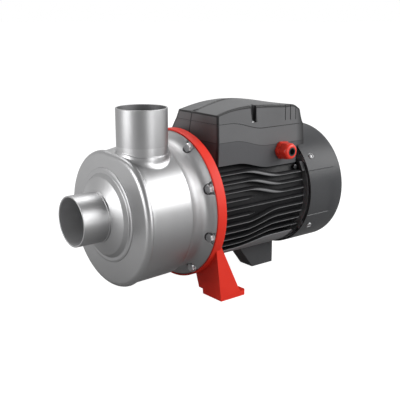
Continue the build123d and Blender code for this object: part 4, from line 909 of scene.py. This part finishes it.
# rounded head with a cross: z = dome(r) less the slot's depth where |u| or |v| is small
def makeCoverScrews():
    s = coverScrew
    axis = np.linspace(-1, 1, s["columns"])
    u, v = np.meshgrid(axis, axis, indexing="ij")
    disc = np.stack([u * np.sqrt(1 - v**2 / 2), v * np.sqrt(1 - u**2 / 2)], -1) * s["radius"]
    r = np.hypot(disc[..., 0], disc[..., 1]) / s["radius"]
    height = s["height"] * np.sqrt(np.maximum(1 - s["domeFall"] * r ** s["domePower"], 0.0)) - s["sink"]
    near = np.minimum(np.abs(disc[..., 0]), np.abs(disc[..., 1]))
    slot = smoothStep((s["slot"] + 0.2 - near) / 0.25) * smoothStep((s["slotEnd"] - r) / 0.1)
    height -= s["slotDepth"] * slot
    shells = []
    for a in s["angles"]:
        top, bottom = (turnAround(np.stack([disc[..., 0] + s["x"], disc[..., 1], cover["radius"] + z], -1), a)
                       for z in (height, np.full_like(height, -s["depth"])))
        shells += [patch(top), patch(bottom), tube(np.stack([rimOf(top), rimOf(bottom)]))]
    makePiece("coverScrews", shells, zincSteel, ["cover_screws"], sharp=50)


makeCover()
makeCoverScrews()
print("fan cover ready")


# Terminal box

box = dict(front=-5.8, near=59.9, farTop=18.5, farTopHeight=113.7, farLow=48.0, farLowHeight=60.0,
           ridge=-9.0, ridgeSpan=(1.0, 108.0), ridgeDip=1.6, ridgeHalf=1.8, corner=1.6, seam=102.0,
           seamGap=0.3, tone=79.9, bottom=51.5, leanUp=0.03, leanDown=0.035, wall=3.0, topEdge=1.5,
           innerDrop=4.5, topLine=3.0, nearStart=-3.8, nearEnd=125.9, step=64.0, rearMiddle=135.0,
           rearHeights=(91.5, 111.6, 130), rearPlaces=(129.4, 129.4, 141.6, 140.0, 131.6, 124.0),
           seamWave=(14.0, 68.0), toneWave=(21.0, 75.0), bottomWave=(27.0, 80.0), overhang=82.2,
           overhangStart=132.0, saddle=70.3, pocketTop=(46.6, 55.9), pocketFoot=(49.3, 58.3), pocketDepth=8.0,
           pocketFloor=100.5, pocketTopHeight=120.0, pocketSpan=(44.6, 60.6), grooves=(106.7, 115.7, 125.4),
           grooveHalf=0.5, grooveDepth=0.8, grooveLow=98.0, grooveSide=-57.0, nearRings=66, farRings=50,
           endRings=30, cornerSteps=6, pocketStep=0.4, baseLevels=14, lidLevels=26,
           grooveColumns=(-1.0, -0.75, -0.5, 0, 0.5, 0.75, 1.0),
           topSteps=(11, 15, 20, 26, 33, 40, 47, 54, 62))
nearTop = np.array([(-7, 112.9), (-5.8, 113.4), (10, 117.8), (28, 120.2), (45, 121.0), (75, 120.0),
                    (106, 117.8), (125, 116.2), (132, 111.5), (145, 90)])
ridgeTop = np.array([(-7, 113.6), (-4, 114.2), (11, 118.0), (27, 121.7), (44, 125.1), (52, 125.8),
                     (68, 125.0), (100, 120.4), (117, 117.0), (136, 112.5), (145, 110)])
farTop = np.array([(-7, 113.4), (-5.8, 113.7), (12, 118.4), (29, 121.4), (45, 122.3), (62, 122.5),
                   (95, 119.0), (120, 115.6), (135, 111.5), (145, 108)])


# height of a line on the box: level, a smooth fall of one fin pitch, level
def waveLine(x, height, wave):
    return height - motor["pitch"] * smoothStep((x - wave[0]) / (wave[1] - wave[0]))


# near wall: widest at the tone line, leaning in above and below it
def nearSide(x, z):
    b = box
    above = z - waveLine(x, b["tone"], b["toneWave"])
    return np.maximum(above, 0) * b["leanUp"] + np.maximum(-above, 0) * b["leanDown"] - b["near"]


def farSide(z):
    b = box
    slope = (b["farLow"] - b["farTop"]) / (b["farTopHeight"] - b["farLowHeight"])
    return b["farTop"] + (b["farTopHeight"] - z) * slope


# rear wall: short beside the fan cover, then stepping out over it and leaning forward to the top
def rearSide(z):
    b = box
    return np.interp(z, [0, b["step"] - 0.1, b["step"] + 0.1, *b["rearHeights"]], b["rearPlaces"])


# loop round the box at each share of the height between two lines: straight sides joined by quarter circles
def wallGrid(lowLine, highLine, levels, inset=0.0):
    b = box
    marks = [g + o for g in b["grooves"] for o in b["grooveColumns"]]
    even = np.linspace(b["nearStart"], b["nearEnd"], b["nearRings"])
    nearX = np.concatenate([even, marks, np.arange(*b["pocketSpan"], b["pocketStep"])])
    nearX = np.unique(np.round(nearX, 3))
    backX = np.linspace(b["nearEnd"], b["nearStart"], b["farRings"])
    across = np.linspace(0, 1, b["endRings"])[1:-1]
    q = np.linspace(0, np.pi / 2, b["cornerSteps"])
    c = b["corner"] - inset * 0.4
    turnOne = c * np.stack([np.sin(q), -np.cos(q)], -1)
    turnTwo = c * np.stack([np.cos(q), np.sin(q)], -1)

    def straight(x, start, end):
        return np.stack([np.full(len(across), x), start + (end - start) * across], -1)

    rows = []
    for t in levels:
        def heightAt(x, y):
            return lowLine(x, y) * (1 - t) + highLine(x, y) * t

        def sidesAt(x, height):
            return nearSide(x, height) + inset, farSide(height) - inset

        rearHeight = heightAt(b["rearMiddle"], -b["near"])
        frontHeight = heightAt(b["front"], -b["near"])
        rear, front = rearSide(rearHeight) - inset, b["front"] + inset
        nearRear, farRear = sidesAt(b["nearEnd"], rearHeight)
        nearFront, farFront = sidesAt(b["front"], frontHeight)
        flat = np.concatenate([
            np.stack([nearX, nearSide(nearX, heightAt(nearX, -b["near"])) + inset], -1),
            [rear - c, nearRear + c] + turnOne, straight(rear, nearRear + c, farRear - c),
            [rear - c, farRear - c] + turnTwo,
            np.stack([backX, farSide(heightAt(backX, 20.0)) - inset], -1),
            [front + c, farFront - c] - turnOne, straight(front, farFront - c, nearFront + c),
            [front + c, nearFront + c] - turnTwo])
        rows.append(np.concatenate([flat, heightAt(flat[:, 0], flat[:, 1])[:, None]], 1))
    grid = np.stack(rows)
    # columns on the rounded corners, marked for a dark painted reflection
    counts = [len(nearX), len(q), len(across), len(q), len(backX), len(q), len(across), len(q)]
    corner = np.repeat([0.0, 1.0] * 4, counts)
    over = np.sqrt(np.maximum(b["overhang"] ** 2 - grid[..., 1] ** 2, 0))
    grid[..., 2] = np.where(grid[..., 0] > b["overhangStart"], np.maximum(grid[..., 2], over), grid[..., 2])
    return grid, np.broadcast_to(corner, grid.shape[:2])


def seamLine(x, y):
    return waveLine(x, box["seam"], box["seamWave"])


# lower edge: the wave, or the motor's round back where that is higher
def lowLine(x, y):
    back = np.sqrt(np.maximum(box["saddle"] ** 2 - np.asarray(y) ** 2, 0))
    return np.maximum(waveLine(x, box["bottom"], box["bottomWave"]), back)


# top surface: straight across from the near edge to the ridge and on to the far edge, each a smooth line,
# with a small groove along the ridge
def topHeight(x, y):
    b = box
    ridgeLine = smoothLine(ridgeTop, x)
    toNear = np.clip((b["ridge"] - y) / (b["near"] - 1.0 + b["ridge"]), 0, 1)
    toFar = np.clip((y - b["ridge"]) / (b["farTop"] - b["ridge"]), 0, 1.2)
    near = ridgeLine + (smoothLine(nearTop, x) - ridgeLine) * toNear
    far = ridgeLine + (smoothLine(farTop, x) - ridgeLine) * toFar
    dip = b["ridgeDip"] * np.clip(1 - np.abs(y - b["ridge"]) / b["ridgeHalf"], 0, 1)
    return np.where(y < b["ridge"], near, far) - dip


def makeBase():
    b = box
    low = waveLine(b["rearMiddle"], b["bottom"], b["bottomWave"])
    stepShare = (b["step"] - low) / (seamLine(b["rearMiddle"], 0) - low)
    even = np.linspace(0, 1, b["baseLevels"])
    levels = np.unique(np.concatenate([even, [stepShare - 0.003, stepShare + 0.003, 0.985]]))
    outer, corner = wallGrid(lowLine, seamLine, levels)
    inner, innerCorner = wallGrid(lowLine, seamLine, levels[::-1], b["wall"])
    # the corner columns carry a dark painted reflection on the rounded corners
    makePiece("terminalBase", [solid(np.concatenate([outer, inner]))], boxPlastic, ["terminal_base"],
              sharp=28, marks=[corner, innerCorner * 0])


# true inside the leaning pocket of the near lid screw
def insidePocket(grid, margin=0.0):
    b = box
    x, y, z = grid[..., 0], grid[..., 1], grid[..., 2]
    share = np.clip((z - b["pocketFloor"]) / (b["pocketTopHeight"] - b["pocketFloor"]), 0, 1)
    low, high = (foot + (top - foot) * share for foot, top in zip(b["pocketFoot"], b["pocketTop"]))
    inPlan = (x > low - margin) & (x < high + margin) & (y < -b["near"] + b["pocketDepth"] + margin)
    return inPlan & (z > b["pocketFloor"])


def pocketed(grid, floor, margin=0.0):
    out = grid.copy()
    out[..., 2] = np.where(insidePocket(grid, margin), np.minimum(grid[..., 2], floor), grid[..., 2])
    return out


def lidFoot(x, y):
    return seamLine(x, y) + box["seamGap"]


def lidRim(x, y):
    return topHeight(x, y) - box["topEdge"]


def lidInnerRim(x, y):
    return topHeight(x, y) - box["innerDrop"]


# from each point of a rim to the ridge, which is shorter than the box
def wayToRidge(rim):
    foot = np.stack([np.clip(rim[:, 0], *box["ridgeSpan"]), np.full(len(rim), box["ridge"])], -1)
    return foot - rim[:, :2]


# plan points of the top with their heights, each row set lower by its drop
def onTop(plan, drop):
    return np.concatenate([plan, (topHeight(plan[..., 0], plan[..., 1]) - drop)[..., None]], -1)


# wall loops up from the seam, a rounded edge, then loops drawn in level by level to the ridge line
def makeLid():
    b = box
    levels = np.unique(np.append(np.linspace(0, 1, b["lidLevels"]), 0.01))
    outer, corner = wallGrid(lidFoot, lidRim, levels)
    rim = outer[-1]
    toRidge = wayToRidge(rim)
    length = np.linalg.norm(toRidge, axis=1, keepdims=True)
    arc = np.linspace(0, np.pi / 2, b["cornerSteps"])[1:]
    pocket = b["pocketDepth"]
    flat = np.array([2.6, 4.5, pocket - 0.4, pocket + 0.2, *b["topSteps"]])
    away = np.concatenate([b["topEdge"] * (1 - np.cos(arc)), flat])
    drop = np.concatenate([b["topEdge"] * (1 - np.sin(arc)), np.zeros(len(flat))])
    plan = rim[None, :, :2] + toRidge[None] * np.minimum(away[:, None, None] / length[None], 1)
    grid = np.concatenate([outer, onTop(plan, drop[:, None])])
    # marks for painted dark lines: a dark painted reflection on the rounded corners and top edge, and painted
    # shade along the seam, in the grooves and in the pocket
    topEdgeDarkLine = np.broadcast_to((away < b["topLine"]).astype(float)[:, None], plan.shape[:2])
    paintedDarkLines = np.concatenate([corner, topEdgeDarkLine])
    paintedDarkLines[len(outer) - 2:len(outer)] = 1.0
    paintedDarkLines[:2] = 1.0
    grooves = [smoothStep((b["grooveHalf"] + 0.25 - np.abs(grid[..., 0] - g)) / 0.4) for g in b["grooves"]]
    inGroove = np.max(grooves, 0) * ((grid[..., 1] < b["grooveSide"]) & (grid[..., 2] > b["grooveLow"]))
    grid[..., 1] += inGroove * b["grooveDepth"]
    paintedDarkLines = np.maximum(paintedDarkLines, np.maximum(inGroove, insidePocket(grid) * 0.8))
    grid = pocketed(grid, b["pocketFloor"])
    innerWall, _ = wallGrid(lidFoot, lidInnerRim, np.linspace(0, 1, 4), b["wall"])
    innerRim = innerWall[-1]
    share = np.array([0.2, 0.5, 0.8, 1.0])[:, None, None]
    innerPlan = innerRim[None, :, :2] + wayToRidge(innerRim)[None] * share
    inner = np.concatenate([innerWall, onTop(innerPlan, b["wall"])])
    inner = pocketed(inner, b["pocketFloor"] - 1.2, 2.5)
    makePiece("terminalLid", [tube(np.concatenate([inner[::-1], grid]))], boxPlastic, ["terminal_lid"],
              sharp=28, marks=[np.zeros(inner.shape[:2]), paintedDarkLines])


lidScrew = dict(x=51.2, radius=3.6, height=2.0, recess=0.9, tip=84.5, shank=2.0,
                places=((-55.2, 100.5), (11.3, 106.5)))


# one screw in the near pocket and one on the far side, each at its own seat height
def makeLidScrews():
    s = lidScrew
    shells = []
    for y, seat in s["places"]:
        top = seat + s["height"]
        low = top - s["recess"]
        profile = [(low, 0), (low, 1.5), (top, 1.9), (top - 0.2, s["radius"] - 0.9), (low, s["radius"]),
                   (seat, s["radius"]), (seat, s["shank"]), (s["tip"], s["shank"]), (s["tip"], 0)]
        shells.append(tube(upright(turnedGrid(profile, 40), s["x"], y, 1)))
    makePiece("lidScrews", shells, screwSteel, ["lid_screws"], sharp=40)


makeBase()
makeLid()
makeLidScrews()
print("terminal box ready")


# Cable gland

gland = dict(x=100.0, z=61.0, face=60.0, hexAcross=21.6, hexSoft=12.0, hexEnd=66.0, nutStart=66.3,
             nutEnd=79.2, nutRadius=10.5, tip=6.9, bore=5.6, lip=4.6, thread=8.0, inside=50.7, end=75.0,
             columns=96, nutRings=22, domeRoot=1.12, domePower=2.6, blend=14)


# rings along the gland's axis, which points to the near side
def alongGland(x, r, angle):
    grid = ringGrid(x, r, -angle)
    return np.stack([grid[..., 1] + gland["x"], -grid[..., 0], grid[..., 2] + gland["z"]], -1)


# nut: radius is the soft minimum of a hexagon and a dome, r = tip + (root - tip) * sqrt(1 - t^power)
def makeGlandNut():
    g = gland
    a = np.linspace(0, 2 * np.pi, g["columns"], endpoint=False)
    hexagon = hexagonRadius(g["nutRadius"], a)
    t = np.linspace(0, 1, g["nutRings"])
    root, blend = g["nutRadius"] * g["domeRoot"], g["blend"]
    dome = g["tip"] + (root - g["tip"]) * np.sqrt(np.maximum(1 - t ** g["domePower"], 0))
    soft = (hexagon[None] ** -blend + dome[:, None] ** -blend) ** (-1 / blend)
    start, end, lip = g["nutStart"], g["nutEnd"], g["lip"]
    hollow = np.array([(end - 0.2, lip + 0.3), (end - 0.9, lip), (end - 1.6, lip), (end - 1.6, g["bore"]),
                       (start, g["bore"])])
    x = np.concatenate([[start], start + (end - start) * t, hollow[:, 0]])
    r = np.concatenate([np.full((1, len(a)), g["thread"]), soft, np.repeat(hollow[:, 1:], len(a), 1)])
    makePiece("glandNut", [solid(alongGland(x, r, a))], redPlastic, ["gland_nut"], sharp=50)


# body: the smaller of a hexagon's radius and a turned profile's
def makeGlandBody():
    g = gland
    a = np.linspace(0, 2 * np.pi, g["columns"], endpoint=False)
    inside, face, hexEnd, end = g["inside"], g["face"], g["hexEnd"], g["end"]
    bore, soft, thread, pin = g["bore"], g["hexSoft"], g["thread"], g["thread"] - 1
    x = np.array([inside, inside, face, face, face + 0.5, hexEnd - 0.8, hexEnd, hexEnd, end, end])
    most = np.array([bore, thread, thread, soft - 0.6, soft, soft, soft - 0.8, pin, pin, bore])
    r = np.minimum(hexagonRadius(g["hexAcross"] / 2, a)[None], most[:, None])
    makePiece("glandBody", [solid(alongGland(x, r, a))], redPlastic, ["gland_body"], sharp=40)


makeGlandNut()
makeGlandBody()


# Small screw beside the first fin row

earth = dict(x=123.4, z=36.0, seat=60.0, top=63.4, across=6.0, shank=1.6, chamfer=0.6, sink=2.0, columns=36)


def makeEarthScrew():
    e = earth
    one = hexScrewGrid(-e["top"], -e["seat"], e["sink"] - e["seat"], e["across"], e["shank"], e["chamfer"],
                       e["columns"])
    grid = np.stack([one[..., 1] + e["x"], one[..., 0], one[..., 2] + e["z"]], -1)
    makePiece("earthScrew", [tube(grid)], darkScrew, ["earth_screw"])


makeEarthScrew()
print("small pieces ready")


# Floor, light, camera

# the floor's white in reflections is darkened near the pump and towards the front as painted shade
studio = dict(floorColour=(0.22, 0.22, 0.22), floorLift=0.97, mirror=0.68, nearShadeLevel=0.12, frontShadeLevel=0.45,
              shadeReach=(0.12, 0.9), shadeFront=(-0.8, 0.1), floorSize=90.0, worldLight=0.42, zenith=0.6,
              zenithSpan=(0.25, 0.9), behind=0.35, behindSpan=(-0.9, 0.1), floorRough=0.9, floorShine=0.1)
lamps = dict(keyLamp=dict(place=(1.0, -1.0, 0.88), size=(1.4, 0.9), power=23.0),
             leftLamp=dict(place=(-1.25, 0.2, 0.4), size=(0.7, 0.7), power=7.5),
             sideLamp=dict(place=(0.05, -1.3, 0.35), size=(0.4, 0.9), power=5.5),
             topLamp=dict(place=(0.1, 0.5, 1.2), size=(1.0, 0.5), power=7.0))
lens = dict(length=67.30, sensor=36.0, near=0.05, far=20, place=(-0.57229, -0.73583, 0.34563), down=14.294,
            around=38.547)
middle = (0.0, 0.0, 0.11)


# 1 for camera, glossy and transmission rays, 0 for rays that light the object; then 1 for camera rays alone
def seenDirectly(tree):
    path = tree.nodes.new("ShaderNodeLightPath")
    direct = path.outputs["Is Camera Ray"]
    for kind in ("Is Glossy Ray", "Is Transmission Ray"):
        direct = mathNode(tree, "MAXIMUM", direct, path.outputs[kind])
    return direct, path.outputs["Is Camera Ray"]


# floor: white to the camera, and to reflections a white with painted shade, darker near the pump's ground and
# towards the front
def makeFloor():
    s = studio
    size = s["floorSize"]
    mesh = bpy.data.meshes.new("floor")
    corners = [(-size, -size, 0), (-size, size, 0), (size, size, 0), (size, -size, 0)]
    mesh.from_pydata(corners, [], [[3, 2, 1, 0]])
    floor = addToScene("floor", mesh)
    material, tree, shader, place = newMaterial("paleFloor")
    # painted shade seen only in reflections: darker near the pump and towards the front
    reach = addNode(tree, "VectorMath", {0: place}, operation="LENGTH")
    ahead = rangeNode(tree, axesOf(tree, place)["Y"], s["frontShadeLevel"], 1.0, *s["shadeFront"])
    outward = rangeNode(tree, reach["Value"], s["nearShadeLevel"], 1.0, *s["shadeReach"])
    shadedReflection = mathNode(tree, "MULTIPLY", mathNode(tree, "MULTIPLY", ahead, outward), s["mirror"])
    direct, camera = seenDirectly(tree)
    level = mathNode(tree, "MULTIPLY", direct, mathNode(tree, "MAXIMUM", shadedReflection, camera))
    feed(tree, shader, {"Base Color": s["floorColour"], "Roughness": s["floorRough"],
                        "Specular IOR Level": s["floorShine"],
                        "Emission Color": (1.0, 1.0, 1.0),
                        "Emission Strength": mathNode(tree, "MULTIPLY", level, s["floorLift"])})
    mesh.materials.append(material)


def makeLamp(name, place, size, power):
    lamp = bpy.data.lights.new(name, "AREA")
    lamp.shape = "RECTANGLE"
    lamp.size, lamp.size_y = size
    lamp.energy = power
    thing = addToScene(name, lamp)
    thing.location = place
    thing.rotation_euler = (Vector(middle) - Vector(place)).to_track_quat("-Z", "Y").to_euler()


# background: white to the camera and in reflections ahead, greyer overhead and behind the camera
def makeWorld():
    s = studio
    world = bpy.data.worlds.new("studio")
    bpy.context.scene.world = world
    world.use_nodes = True
    tree = world.node_tree
    direct, camera = seenDirectly(tree)
    reflected = rangeNode(tree, direct, s["worldLight"], s["mirror"], 0.0, 1.0)
    axes = axesOf(tree, addNode(tree, "TexCoord", {})["Generated"])
    upward = rangeNode(tree, axes["Z"], 1.0, s["zenith"], *s["zenithSpan"])
    toward = rangeNode(tree, axes["Y"], s["behind"], 1.0, *s["behindSpan"])
    grey = mathNode(tree, "MAXIMUM", mathNode(tree, "MULTIPLY", upward, toward), camera)
    shade = addNode(tree, "CombineColor", {"Red": grey, "Green": grey, "Blue": grey})
    feed(tree, tree.nodes["Background"], {"Color": shade[0],
                                          "Strength": mathNode(tree, "MAXIMUM", reflected, camera)})


def makeCamera():
    camera = bpy.data.cameras.new("camera")
    camera.sensor_width = lens["sensor"]
    camera.lens = lens["length"]
    camera.clip_start, camera.clip_end = lens["near"], lens["far"]
    view = addToScene("camera", camera)
    view.location = lens["place"]
    view.rotation_euler = (math.radians(90 - lens["down"]), 0, math.radians(-lens["around"]))
    bpy.context.scene.camera = view


makeFloor()
makeWorld()
for name, lamp in lamps.items():
    makeLamp(name, **lamp)
makeCamera()
bpy.context.scene.view_settings.view_transform = "Standard"
